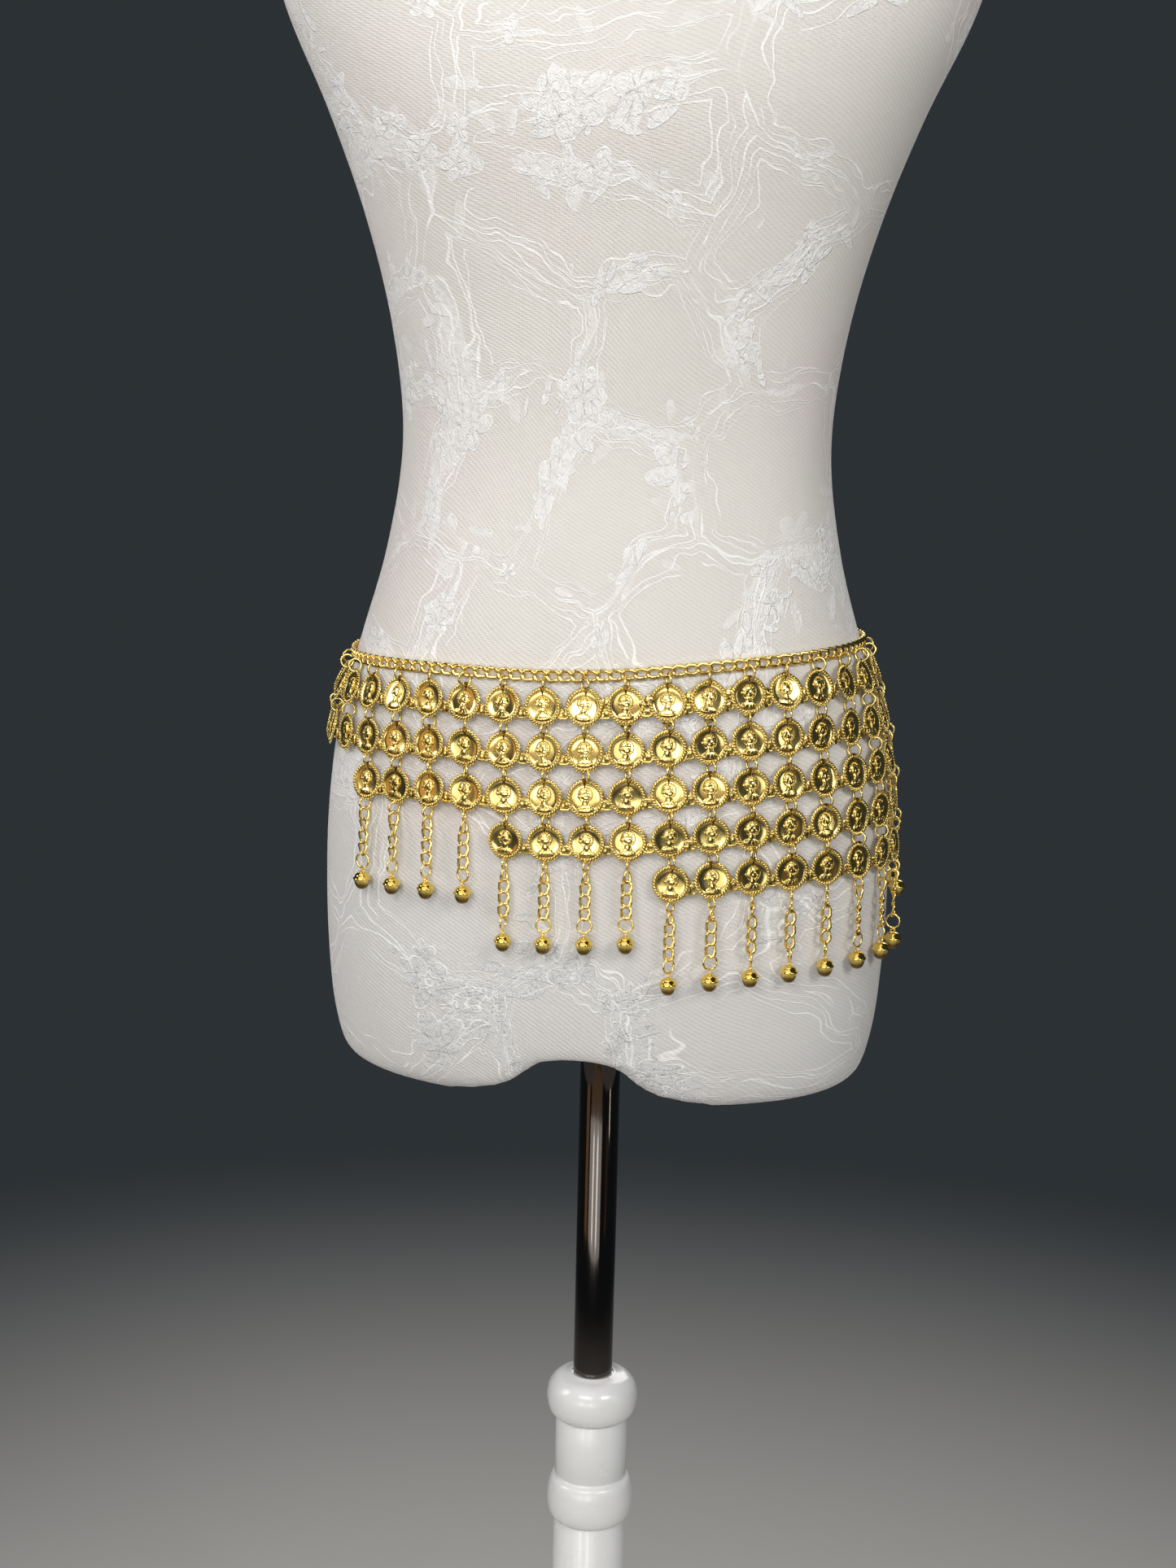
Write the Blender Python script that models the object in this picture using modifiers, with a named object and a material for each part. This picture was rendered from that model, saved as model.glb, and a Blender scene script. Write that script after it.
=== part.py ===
"""Coin waist chain on a limbless dress form and its stand.

The chain lies round the top of the hips. Stamped coins hang from it in columns
and are tied to each other by jump rings, two to five rows deep, and each column
of three or more rows ends in a short chain with a small bell.

Metres, +Z up, the form faces -Y, the origin is on the floor under the pole.
"""

import math
from bisect import bisect_right
from functools import lru_cache

import bmesh
import bpy
from mathutils import Matrix, Vector

MM = 0.001
CLEARANCE = 0.3 * MM

# Stand
BASE_RADIUS = 175 * MM
BASE_EDGE = 6 * MM
BASE_THICKNESS = 22 * MM
POST_RADIUS = 22.5 * MM
POST_FOOT_RADIUS = 42 * MM
POST_TOP = 522 * MM
CAP_BEAD_HEIGHT = 508 * MM
CAP_BEAD_RADIUS = 28.4 * MM
COLLAR_BEAD_HEIGHT = 439 * MM
COLLAR_BEAD_RADIUS = 27 * MM
BEAD_HALF_HEIGHT = 14 * MM
POLE_RADIUS = 12.2 * MM
POLE_SOCKET_DEPTH = 40 * MM
POST_STEPS = 18
BASE_STEPS = 36

# Dress form, measured across at each height. The depths run from the pole's axis.
FORM_SECTIONS = (
    # height, half_width, front, back, squareness
    (0.727, 0.1560, 0.098, 0.100, 2.2),
    (0.760, 0.1640, 0.106, 0.110, 2.2),
    (0.800, 0.1675, 0.111, 0.118, 2.2),
    (0.836, 0.1686, 0.112, 0.121, 2.2),
    (0.879, 0.1675, 0.113, 0.117, 2.2),
    (0.928, 0.1620, 0.112, 0.106, 2.2),
    (0.980, 0.1490, 0.108, 0.092, 2.2),
    (1.035, 0.1335, 0.100, 0.083, 2.15),
    (1.098, 0.1247, 0.091, 0.082, 2.1),
    (1.161, 0.1310, 0.097, 0.087, 2.1),
    (1.223, 0.1467, 0.110, 0.093, 2.1),
    (1.283, 0.1690, 0.124, 0.097, 2.1),
    (1.343, 0.1960, 0.119, 0.100, 2.1),
    (1.388, 0.2040, 0.106, 0.100, 2.1),
    (1.425, 0.1910, 0.090, 0.097, 2.1),
    (1.452, 0.1570, 0.076, 0.090, 2.1),
    (1.474, 0.1080, 0.064, 0.078, 2.05),
    (1.494, 0.0700, 0.055, 0.066, 2.0),
    (1.520, 0.0570, 0.050, 0.059, 2.0),
    (1.560, 0.0540, 0.049, 0.056, 2.0),
)
FORM_RINGS = 23
FORM_STEPS = 44
FORM_BOTTOM = FORM_SECTIONS[0][0]
FORM_TOP = FORM_SECTIONS[-1][0]
HEM_ROUNDING = 12 * MM
NECK_ROUNDING = 6 * MM
ARCH_PROFILE = (
    # half_width, height
    (82 * MM, -4 * MM),
    (66 * MM, 2 * MM),
    (48 * MM, 6.5 * MM),
    (35 * MM, 12.5 * MM),
    (28 * MM, 20 * MM),
    (20 * MM, 26 * MM),
    (8 * MM, 29 * MM),
)
ARCH_HEIGHT = ARCH_PROFILE[-1][1]
ARCH_DEPTH = 150 * MM
ARCH_WIDENING_BEHIND = 1.35

# Coin net: arcs run round the form from its front centre, towards +X
CHAIN_HEIGHT = 977.8 * MM
SIDEWAYS_SLOPE = 0.053
FRONT_DIP = 4 * MM
DIP_REACH = 70 * MM
COLUMN_PITCH = 23.0 * MM
ROW_PITCH = 25.2 * MM
ROW_DRIFT = 1.2 * MM
FIRST_ROW_DROP = 16.5 * MM
FIRST_COLUMN_ARC = -228.0 * MM
PITCH_KEPT_TO = 140 * MM
PITCH_LOST_AT = 400 * MM
COIN_RADIUS = 9.9 * MM
COIN_THICKNESS = 1.6 * MM
COIN_STANDOFF = 4.4 * MM
COIN_SIDES = 12
RING_WIDTH = 2.4 * MM
RING_THICKNESS = 2.4 * MM
PANELS = (
    # name, columns, rows
    ("coin_panel_a", 4, 2),
    ("coin_panel_b", 4, 3),
    ("coin_panel_c", 4, 4),
    ("coin_panel_d", 4, 5),
    ("coin_panel_e", 4, 5),
    ("coin_panel_f", 4, 4),
    ("coin_panel_g", 4, 3),
    ("coin_panel_h", 4, 2),
)
FEWEST_ROWS_WITH_A_BELL = 3

# Waist chain and its clasp
CHAIN_THICKNESS = 2.4 * MM
CHAIN_LINK_HEIGHT = 7.6 * MM
CHAIN_JOINT_HEIGHT = 5.0 * MM
CHAIN_LINK_PITCH = 7.1 * MM
CHAIN_OFF_FORM = 0.8 * MM
CLASP_LENGTH = 16 * MM
CLASP_HEIGHT = 8 * MM
CLASP_THICKNESS = 3.6 * MM
CLASP_OFF_FORM = 1.4 * MM

# Pendants: the distance is down from the last coin's centre
PENDANT_SECTIONS = (
    # drop, half_width, half_depth
    (10.2 * MM, 1.3 * MM, 0.8 * MM),
    (14.0 * MM, 3.4 * MM, 1.6 * MM),
    (18.0 * MM, 1.0 * MM, 1.6 * MM),
    (22.0 * MM, 3.4 * MM, 0.9 * MM),
    (25.5 * MM, 1.4 * MM, 1.6 * MM),
    (29.0 * MM, 3.4 * MM, 0.9 * MM),
    (32.5 * MM, 1.4 * MM, 1.6 * MM),
    (36.0 * MM, 3.4 * MM, 0.9 * MM),
    (40.0 * MM, 1.2 * MM, 1.4 * MM),
    (46.0 * MM, 3.6 * MM, 1.6 * MM),
    (55.0 * MM, 0.9 * MM, 0.9 * MM),
)
BELL_DROP = 58 * MM
BELL_RADIUS = 4.8 * MM
BELL_LENGTH = 9.6 * MM
BELL_STANDOFF = 5.7 * MM

GOLD = ("gold_plate", (0.86, 0.60, 0.16), 0.22, 1.0)
JERSEY = ("white_cover", (0.80, 0.79, 0.77), 0.85, 0.0)
CHROME = ("dark_chrome", (0.42, 0.40, 0.40), 0.08, 1.0)
WHITE_PAINT = ("white_paint", (0.80, 0.80, 0.79), 0.25, 0.0)


def clear_scene():
    for thing in list(bpy.data.objects):
        bpy.data.objects.remove(thing)


def new_collection(name):
    made = bpy.data.collections.new(name)
    bpy.context.scene.collection.children.link(made)
    return made


def finish_of(name, colour, roughness, metallic):
    """One Principled material, made once and shared by its pieces."""
    material = bpy.data.materials.get(name)
    if material:
        return material
    material = bpy.data.materials.new(name)
    material.use_nodes = True
    shader = material.node_tree.nodes["Principled BSDF"]
    shader.inputs["Base Color"].default_value = (*colour, 1.0)
    shader.inputs["Roughness"].default_value = roughness
    shader.inputs["Metallic"].default_value = metallic
    return material


def object_from(name, bm, collection, finish, smooth=False):
    """Closes a bmesh into a named object with its normals outwards."""
    bmesh.ops.recalc_face_normals(bm, faces=bm.faces)
    mesh = bpy.data.meshes.new(name)
    bm.to_mesh(mesh)
    bm.free()
    mesh.materials.append(finish_of(*finish))
    if smooth:
        mesh.shade_smooth()
        mesh.set_sharp_from_angle(angle=math.radians(40))
    made = bpy.data.objects.new(name, mesh)
    collection.objects.link(made)
    return made


def turned(name, profile, steps, collection, finish):
    """A solid of revolution: a profile of (radius, height), top to bottom, and a Screw."""
    mesh = bpy.data.meshes.new(name)
    points = [(radius, 0, height) for radius, height in profile]
    mesh.from_pydata(points, [(i, i + 1) for i in range(len(points) - 1)], [])
    mesh.materials.append(finish_of(*finish))
    made = bpy.data.objects.new(name, mesh)
    collection.objects.link(made)
    screw = made.modifiers.new("turn", "SCREW")
    screw.steps = screw.render_steps = steps
    screw.use_merge_vertices = True
    screw.merge_threshold = 0.00005
    screw.use_smooth_shade = True
    return made


def bead_profile(height, radius, neck_radius):
    """The half-round of a turned bead between two stretches of post, top to bottom."""
    return [
        (
            neck_radius + (radius - neck_radius) * math.cos(math.radians(degrees)),
            height + BEAD_HALF_HEIGHT * math.sin(math.radians(degrees)),
        )
        for degrees in (90, 45, 15, -15, -45, -90)
    ]


def between_rows(height):
    """The form's measures at a height: a smooth curve through the table's rows."""
    rows = FORM_SECTIONS
    index = max(0, min(len(rows) - 2, sum(row[0] <= height for row in rows) - 1))
    low, high = rows[index], rows[index + 1]
    before, after = rows[max(index - 1, 0)], rows[min(index + 2, len(rows) - 1)]
    span = high[0] - low[0]
    share = (height - low[0]) / span
    measures = []
    for column in range(1, len(low)):
        start = (high[column] - before[column]) / (high[0] - before[0]) * span
        end = (after[column] - low[column]) / (after[0] - low[0]) * span
        rise = high[column] - low[column]
        bend = share * (share - 1) ** 2 * (start - rise) + share**2 * (share - 1) * (end - rise)
        measures.append(low[column] + share * rise + bend)
    return measures


def form_point(measures, angle, out=0.0):
    """A point of a section: angle 0 is the wearer's left side (+X), -90 degrees the front."""
    half_width, front, back, squareness = measures
    cosine, sine = math.cos(angle), math.sin(angle)
    depth = (front if sine < 0 else back) + out
    power = 2 / squareness
    return (
        math.copysign(abs(cosine) ** power, cosine) * (half_width + out),
        math.copysign(abs(sine) ** power, sine) * depth,
    )


def hanging_measures(height):
    """What a net that hangs from the chain touches: the widest section between there and the chain."""
    steps = 12
    top = CHAIN_HEIGHT
    levels = [height + (top - height) * i / steps for i in range(steps + 1)] if height < top else [height]
    found = [between_rows(level) for level in levels]
    return [max(values) for values in zip(*found)]


@lru_cache(maxsize=None)
def outline_lengths(level):
    """Angles round the form, from the front centre towards +X, with the lengths round to them."""
    steps = 360
    measures = hanging_measures(level)
    angles = [math.radians(-90 + 360 * i / steps) for i in range(steps + 1)]
    points = [form_point(measures, angle, COIN_STANDOFF) for angle in angles]
    lengths = [0.0]
    for start, end in zip(points, points[1:]):
        lengths.append(lengths[-1] + math.dist(start, end))
    return angles, lengths


def angle_on(level, arc):
    angles, lengths = outline_lengths(level)
    arc %= lengths[-1]
    index = min(bisect_right(lengths, arc), len(angles) - 1) - 1
    share = (arc - lengths[index]) / (lengths[index + 1] - lengths[index])
    return angles[index] + share * (angles[index + 1] - angles[index])


def hanging_angle(level, arc):
    """In front the net keeps its pitch as the hips widen. Behind, its columns hang straight down."""
    straight = angle_on(CHAIN_HEIGHT, arc)
    pitched = angle_on(level, arc)
    share = min(1.0, max(0.0, (abs(arc) - PITCH_KEPT_TO) / (PITCH_LOST_AT - PITCH_KEPT_TO)))
    return pitched + share * (straight - pitched)


def hung_point(arc, drop, out):
    """A point of the net and its outward direction.

    It is an arc length round the chain, a drop below it and a distance off the form.
    """
    level = CHAIN_HEIGHT - drop
    angle = hanging_angle(round(level, 4), arc)
    x, _ = form_point(hanging_measures(level), angle, out)
    level += SIDEWAYS_SLOPE * x + FRONT_DIP * (1 - math.exp(-((arc / DIP_REACH) ** 2)))
    measures = hanging_measures(level)
    before, after = (form_point(measures, angle + turn, out) for turn in (-0.01, 0.01))
    outward = Vector((after[1] - before[1], before[0] - after[0], 0)).normalized()
    return Vector((*form_point(measures, angle, out), level)), outward


def coin_frame(column, row):
    """The place of one coin: X along the row, Y towards the form, Z up the column."""
    arc = FIRST_COLUMN_ARC + column * COLUMN_PITCH + row * ROW_DRIFT
    drop = FIRST_ROW_DROP + row * ROW_PITCH
    centre, outward = hung_point(arc, drop, COIN_STANDOFF)
    upper, _ = hung_point(arc, drop - COIN_RADIUS, COIN_STANDOFF)
    up = (upper - centre).normalized()
    along = up.cross(outward).normalized()
    axes = Matrix((along, up.cross(along), up)).transposed().to_4x4()
    return Matrix.Translation(centre) @ axes


def coin_ring(bm, frame, radius, out):
    """The points of one coin outline. Its sides 0, 3, 6 and 9 face right, up, left and down."""
    points = []
    for i in range(COIN_SIDES):
        angle = 2 * math.pi * (i - 0.5) / COIN_SIDES
        spot = Vector((radius * math.cos(angle), -out, radius * math.sin(angle)))
        points.append(bm.verts.new(frame @ spot))
    return points


RIGHT, UP, LEFT, DOWN = 0, COIN_SIDES // 4, COIN_SIDES // 2, 3 * COIN_SIDES // 4


def coin_side(coin, side):
    """The four corners of a side: front first, front next, back next, back first."""
    after = (side + 1) % COIN_SIDES
    return [coin["front"][side], coin["front"][after], coin["back"][after], coin["back"][side]]


def add_coin(bm, frame, joined_sides):
    """A disc, open at the sides where rings join it."""
    coin = {
        "front": coin_ring(bm, frame, COIN_RADIUS, COIN_THICKNESS / 2),
        "back": coin_ring(bm, frame, COIN_RADIUS, -COIN_THICKNESS / 2),
    }
    bm.faces.new(coin["front"])
    bm.faces.new(coin["back"])
    for i in range(COIN_SIDES):
        if i not in joined_sides:
            bm.faces.new(coin_side(coin, i))
    return coin


def skin(bm, first, second):
    """Four faces between two loops of four corners."""
    for i in range(4):
        after = (i + 1) % 4
        bm.faces.new((first[i], first[after], second[after], second[i]))


def ring_waist(bm, first, second, width):
    """Four corners halfway between two sides, drawn in to the width of a jump ring."""
    centre = sum((v.co for v in first + second), Vector()) / (len(first) + len(second))
    across = (first[0].co - first[1].co).normalized()
    through = (first[0].co - first[3].co).normalized()
    offsets = [(1, 1), (-1, 1), (-1, -1), (1, -1)]
    return [
        bm.verts.new(centre + across * a * width / 2 + through * b * RING_THICKNESS / 2)
        for a, b in offsets
    ]


def facing(corners):
    """The corners of an opposite side, in the order that meets coin_side's."""
    return [corners[1], corners[0], corners[3], corners[2]]


def stub(bm, side, towards, gap):
    """Closes a side with a short lug that stops a gap before the points it reaches for."""
    tips = []
    for vertex, goal in zip(side, towards):
        reach = goal - vertex.co
        tips.append(bm.verts.new(vertex.co + reach * max(0.0, 1 - gap / reach.length)))
    skin(bm, side, tips)
    bm.faces.new(tips)


def chain_hook_points(frame, arc):
    """Where the ring above a first-row coin meets the chain's lower edge."""
    drop = CHAIN_LINK_HEIGHT / 2 + CLEARANCE
    centre, _ = hung_point(arc, drop, CHAIN_OFF_FORM + CHAIN_THICKNESS / 2)
    along, inward = frame.col[0].to_3d(), frame.col[1].to_3d()
    return [
        centre + along * a * RING_WIDTH / 2 + inward * b * RING_THICKNESS / 2
        for a, b in ((1, -1), (-1, -1), (-1, 1), (1, 1))
    ]


def coin_panel(name, first_column, columns, rows, next_rows, collection):
    """Coins, jump rings and lugs of neighbouring columns with the same number of rows."""
    bm = bmesh.new()
    coins = {}
    for column in range(columns):
        for row in range(rows):
            last = column == columns - 1
            joined = {UP}
            if not last or row < next_rows:
                joined.add(RIGHT)
            if column > 0:
                joined.add(LEFT)
            if row < rows - 1:
                joined.add(DOWN)
            frame = coin_frame(first_column + column, row)
            coins[column, row] = add_coin(bm, frame, joined)
    for (column, row), coin in coins.items():
        below = coins.get((column, row + 1))
        if below:
            lower, upper = coin_side(coin, DOWN), facing(coin_side(below, UP))
            middle = ring_waist(bm, lower, upper, RING_WIDTH)
            skin(bm, lower, middle)
            skin(bm, middle, upper)
        beside = coins.get((column + 1, row))
        if beside:
            skin(bm, coin_side(coin, RIGHT), facing(coin_side(beside, LEFT)))
        elif row < next_rows:
            reach_to_next_panel(bm, coin, first_column + column + 1, row)
        if row == 0:
            arc = FIRST_COLUMN_ARC + (first_column + column) * COLUMN_PITCH
            frame = coin_frame(first_column + column, row)
            stub(bm, coin_side(coin, UP), chain_hook_points(frame, arc), CLEARANCE)
    return object_from(name, bm, collection, GOLD)


def reach_to_next_panel(bm, coin, column, row):
    """The ring at a panel's edge: it stops a hair short of the next panel's coin."""
    ghost = bmesh.new()
    neighbour = add_coin(ghost, coin_frame(column, row), set())
    goals = [vertex.co.copy() for vertex in facing(coin_side(neighbour, LEFT))]
    ghost.free()
    stub(bm, coin_side(coin, RIGHT), goals, CLEARANCE)


def point_below(above, outward, level, out):
    """Where a strand that hangs from a point lies at a lower level, pushed straight out by the form."""
    along = Vector((-outward.y, outward.x, 0))
    measures = hanging_measures(level)
    angle = math.atan2(outward.y, outward.x)
    for _ in range(6):
        here, beyond = (
            Vector((*form_point(measures, turn, out), level)) for turn in (angle, angle + 0.001)
        )
        angle -= 0.001 * (here - above).dot(along) / (beyond - here).dot(along)
    return Vector((*form_point(measures, angle, out), level))


def bell_pendant(name, column, rows, collection):
    """A ring, a short twisted chain, a second ring and a small bell, lying against the form."""
    last_row = rows - 1
    arc = FIRST_COLUMN_ARC + column * COLUMN_PITCH + last_row * ROW_DRIFT
    last_coin, outward = hung_point(arc, FIRST_ROW_DROP + last_row * ROW_PITCH, COIN_STANDOFF)
    along = Vector((-outward.y, outward.x, 0))

    def strand_centre(drop):
        out = COIN_STANDOFF + (BELL_STANDOFF - COIN_STANDOFF) * min(1.0, drop / BELL_DROP)
        return point_below(last_coin, outward, last_coin.z - drop, out)

    bm = bmesh.new()
    loops = []
    for drop, half_width, half_depth in PENDANT_SECTIONS:
        centre = strand_centre(drop)
        corners = [(1, 0), (0, 1), (-1, 0), (0, -1)]
        loops.append([
            bm.verts.new(centre + along * a * half_width + outward * b * half_depth)
            for a, b in corners
        ])
    for upper, lower in zip(loops, loops[1:]):
        skin(bm, upper, lower)
    bm.faces.new(loops[0])
    bm.faces.new(loops[-1])
    strand = object_from(name, bm, collection, GOLD)
    bell = bmesh.new()
    shape = Matrix.Diagonal((BELL_RADIUS, BELL_RADIUS, BELL_LENGTH / 2, 1))
    place = Matrix.Translation(strand_centre(BELL_DROP))
    bmesh.ops.create_uvsphere(bell, u_segments=8, v_segments=4, radius=1, matrix=place @ shape)
    cutter = hidden_cutter(name + "_bell", bell)
    join = strand.modifiers.new("bell", "BOOLEAN")
    join.operation = "UNION"
    join.object = cutter
    return strand


def chain_section(bm, arc, height):
    """Four corners of the chain at an arc length: inner low, outer low, outer high, inner high."""
    inner, outer = CHAIN_OFF_FORM, CHAIN_OFF_FORM + CHAIN_THICKNESS
    corners = [(height / 2, inner), (height / 2, outer), (-height / 2, outer), (-height / 2, inner)]
    return [bm.verts.new(hung_point(arc, drop, out)[0]) for drop, out in corners]


def chain_run(name, start, end, collection):
    """A run of curb chain: a flat bar that is tall at each link and low at each joint."""
    bm = bmesh.new()
    links = round((end - start) / CHAIN_LINK_PITCH)
    pitch = (end - start) / links
    loops = []
    for i in range(2 * links + 1):
        height = CHAIN_LINK_HEIGHT if i % 2 else CHAIN_JOINT_HEIGHT
        loops.append(chain_section(bm, start + i * pitch / 2, height))
    for first, second in zip(loops, loops[1:]):
        skin(bm, first, second)
    bm.faces.new(loops[0])
    bm.faces.new(loops[-1])
    return object_from(name, bm, collection, GOLD)


def clasp(name, start, end, collection):
    """The trigger clasp that closes the chain at the open back of the net."""
    bm = bmesh.new()
    middle = (start + end) / 2
    off = CLASP_OFF_FORM + CLASP_THICKNESS / 2
    centre, outward = hung_point(middle, 0.0, off)
    upper, _ = hung_point(middle, -CLASP_HEIGHT / 2, off)
    up = (upper - centre).normalized()
    along = outward.cross(up).normalized()
    axes = Matrix((along, up.cross(along), up)).transposed().to_4x4()
    size = Matrix.Diagonal((end - start - 4 * CLEARANCE, CLASP_THICKNESS, CLASP_HEIGHT, 1))
    bmesh.ops.create_cube(bm, size=1, matrix=Matrix.Translation(centre) @ axes @ size)
    made = object_from(name, bm, collection, GOLD)
    bevel = made.modifiers.new("round", "BEVEL")
    bevel.width = 1.2 * MM
    bevel.segments = 1
    return made


def form_ring(bm, height, inset):
    measures = between_rows(height)
    return [
        bm.verts.new((*form_point(measures, 2 * math.pi * i / FORM_STEPS, -inset), height))
        for i in range(FORM_STEPS)
    ]


def dress_form(collection):
    """The torso: rings at even heights, rounded at the hem and the neck, arched for the crotch."""
    bm = bmesh.new()
    levels = [
        (FORM_BOTTOM, HEM_ROUNDING),
        (FORM_BOTTOM + 0.3 * HEM_ROUNDING, 0.3 * HEM_ROUNDING),
    ]
    lowest, highest = FORM_BOTTOM + HEM_ROUNDING, FORM_TOP - NECK_ROUNDING
    for i in range(FORM_RINGS):
        levels.append((lowest + (highest - lowest) * i / (FORM_RINGS - 1), 0.0))
    levels.append((FORM_TOP, NECK_ROUNDING))
    rings = [form_ring(bm, height, inset) for height, inset in levels]
    for lower, upper in zip(rings, rings[1:]):
        for i in range(FORM_STEPS):
            after = (i + 1) % FORM_STEPS
            bm.faces.new((lower[i], lower[after], upper[after], upper[i]))
    bm.faces.new(reversed(rings[0]))
    bm.faces.new(rings[-1])
    form = object_from("dress_form", bm, collection, JERSEY, smooth=True)
    arch = arch_cutter("crotch_arch")
    socket = socket_cutter("pole_socket")
    for cutter in (arch, socket):
        cut = form.modifiers.new(cutter.name, "BOOLEAN")
        cut.operation = "DIFFERENCE"
        cut.object = cutter
    return form


def hidden_cutter(name, bm):
    made = object_from(name, bm, bpy.data.collections["helpers"], JERSEY)
    made.hide_render = True
    made.display_type = "WIRE"
    return made


def arch_cutter(name):
    """The arch between the thigh stubs: a bell-shaped outline that widens towards the back."""
    bm = bmesh.new()
    outline = [(-width, height) for width, height in ARCH_PROFILE]
    outline += [(width, height) for width, height in reversed(ARCH_PROFILE)]
    ends = []
    for depth, widening in ((-ARCH_DEPTH, 1.0), (ARCH_DEPTH, ARCH_WIDENING_BEHIND)):
        ends.append([
            bm.verts.new((across * widening, depth, FORM_BOTTOM + height))
            for across, height in outline
        ])
    front, back = ends
    bm.faces.new(front)
    bm.faces.new(reversed(back))
    for i in range(len(outline)):
        after = (i + 1) % len(outline)
        bm.faces.new((front[i], front[after], back[after], back[i]))
    return hidden_cutter(name, bm)


def socket_cutter(name):
    """The hole that the pole goes up into."""
    bm = bmesh.new()
    radius = POLE_RADIUS + CLEARANCE
    bmesh.ops.create_cone(
        bm,
        cap_ends=True,
        segments=POST_STEPS,
        radius1=radius,
        radius2=radius,
        depth=2 * POLE_SOCKET_DEPTH,
        matrix=Matrix.Translation((0, 0, FORM_BOTTOM + ARCH_HEIGHT)),
    )
    return hidden_cutter(name, bm)


def stand(collection):
    """A round base, a turned post with two beads, and the pole that the form sits on."""
    underside = 0.0
    turned(
        "stand_base",
        [
            (0.0, BASE_THICKNESS),
            (BASE_RADIUS - BASE_EDGE, BASE_THICKNESS),
            (BASE_RADIUS, BASE_THICKNESS - BASE_EDGE),
            (BASE_RADIUS, underside),
            (0.0, underside),
        ],
        BASE_STEPS,
        collection,
        WHITE_PAINT,
    )
    foot = BASE_THICKNESS + CLEARANCE
    flare = 40 * MM
    turned(
        "stand_post",
        [(0.0, POST_TOP), (POST_RADIUS - 1 * MM, POST_TOP)]
        + bead_profile(CAP_BEAD_HEIGHT, CAP_BEAD_RADIUS, POST_RADIUS)
        + bead_profile(COLLAR_BEAD_HEIGHT, COLLAR_BEAD_RADIUS, POST_RADIUS)
        + [
            (POST_RADIUS, foot + flare),
            (POST_RADIUS + 5 * MM, foot + flare / 2),
            (POST_FOOT_RADIUS, foot + flare / 5),
            (POST_FOOT_RADIUS, foot),
            (0.0, foot),
        ],
        POST_STEPS,
        collection,
        WHITE_PAINT,
    )
    socket_end = FORM_BOTTOM + ARCH_HEIGHT + POLE_SOCKET_DEPTH
    pole_foot = POST_TOP + CLEARANCE
    pole_top = socket_end - CLEARANCE
    turned(
        "pole",
        [(0.0, pole_top), (POLE_RADIUS, pole_top), (POLE_RADIUS, pole_foot), (0.0, pole_foot)],
        POST_STEPS,
        collection,
        CHROME,
    )


def waist_chain(collection):
    """The curb chain in two runs, from one side of the clasp round the front to the other."""
    columns = sum(panel[1] for panel in PANELS)
    length = outline_lengths(CHAIN_HEIGHT)[1][-1]
    last_arc = FIRST_COLUMN_ARC + (columns - 1) * COLUMN_PITCH
    clasp_arc = (last_arc + FIRST_COLUMN_ARC + length) / 2
    start = clasp_arc - length + CLASP_LENGTH / 2
    end = clasp_arc - CLASP_LENGTH / 2
    middle = (start + end) / 2
    chain_run("waist_chain_right", start, middle - CLEARANCE / 2, collection)
    chain_run("waist_chain_left", middle + CLEARANCE / 2, end, collection)
    clasp("chain_clasp", end, end + CLASP_LENGTH, collection)


def coin_net(collection):
    first = 0
    for index, (name, columns, rows) in enumerate(PANELS):
        next_rows = PANELS[index + 1][2] if index + 1 < len(PANELS) else 0
        coin_panel(name, first, columns, rows, next_rows, collection)
        if rows >= FEWEST_ROWS_WITH_A_BELL:
            for column in range(first, first + columns):
                bell_pendant(f"bell_pendant_{column + 1:02d}", column, rows, collection)
        first += columns


def main():
    clear_scene()
    collection = new_collection("coin_waist_chain")
    new_collection("helpers").hide_render = True
    stand(collection)
    dress_form(collection)
    waist_chain(collection)
    coin_net(collection)


main()
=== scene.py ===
"""A gold coin waist chain on a lace-covered dress form, with the form's stand."""

import math
import random
from bisect import bisect_right
from functools import lru_cache

import bmesh
import bpy
from mathutils import Matrix, Vector


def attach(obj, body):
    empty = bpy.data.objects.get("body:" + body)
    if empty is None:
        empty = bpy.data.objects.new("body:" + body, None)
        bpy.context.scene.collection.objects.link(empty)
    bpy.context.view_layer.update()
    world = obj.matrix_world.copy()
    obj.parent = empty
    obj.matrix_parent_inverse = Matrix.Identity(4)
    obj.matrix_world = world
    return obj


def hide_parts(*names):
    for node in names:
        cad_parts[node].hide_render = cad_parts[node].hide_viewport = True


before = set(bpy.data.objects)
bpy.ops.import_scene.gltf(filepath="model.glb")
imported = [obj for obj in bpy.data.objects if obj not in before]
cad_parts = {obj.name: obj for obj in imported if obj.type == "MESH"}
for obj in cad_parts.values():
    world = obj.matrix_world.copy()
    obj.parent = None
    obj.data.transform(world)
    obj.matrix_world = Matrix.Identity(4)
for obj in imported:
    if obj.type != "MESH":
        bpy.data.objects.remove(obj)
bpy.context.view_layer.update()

MM = 0.001

# The room. A pale floor runs out into the dark: it is painted darker outwards from the stand, a painted
# falloff of light, and far out it has a faint painted glow in the room's dark colour. Soft lights stand
# low and high in front, at both sides, overhead and behind, and the camera is at the photograph's angle.

CAMERA_DISTANCE = 1.385
CAMERA_HEIGHT = 1.166
CAMERA_SIDE = math.radians(8)
CAMERA_DROP = math.radians(11)
CAMERA_TURN = math.radians(0.474)
CAMERA_ROLL = math.radians(1.45)
SENSOR_SIZE = 36
FOCAL_PIXELS = 2900
PHOTO_HEIGHT_PIXELS = 1927
ROOM_DARK = (0.026, 0.031, 0.035)
FLOOR_PALE = (0.50, 0.49, 0.475)
FLOOR_RADIUS = 5.0
FLOOR_PAINTED_FALLOFF = (0.35, 1.9)


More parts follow.
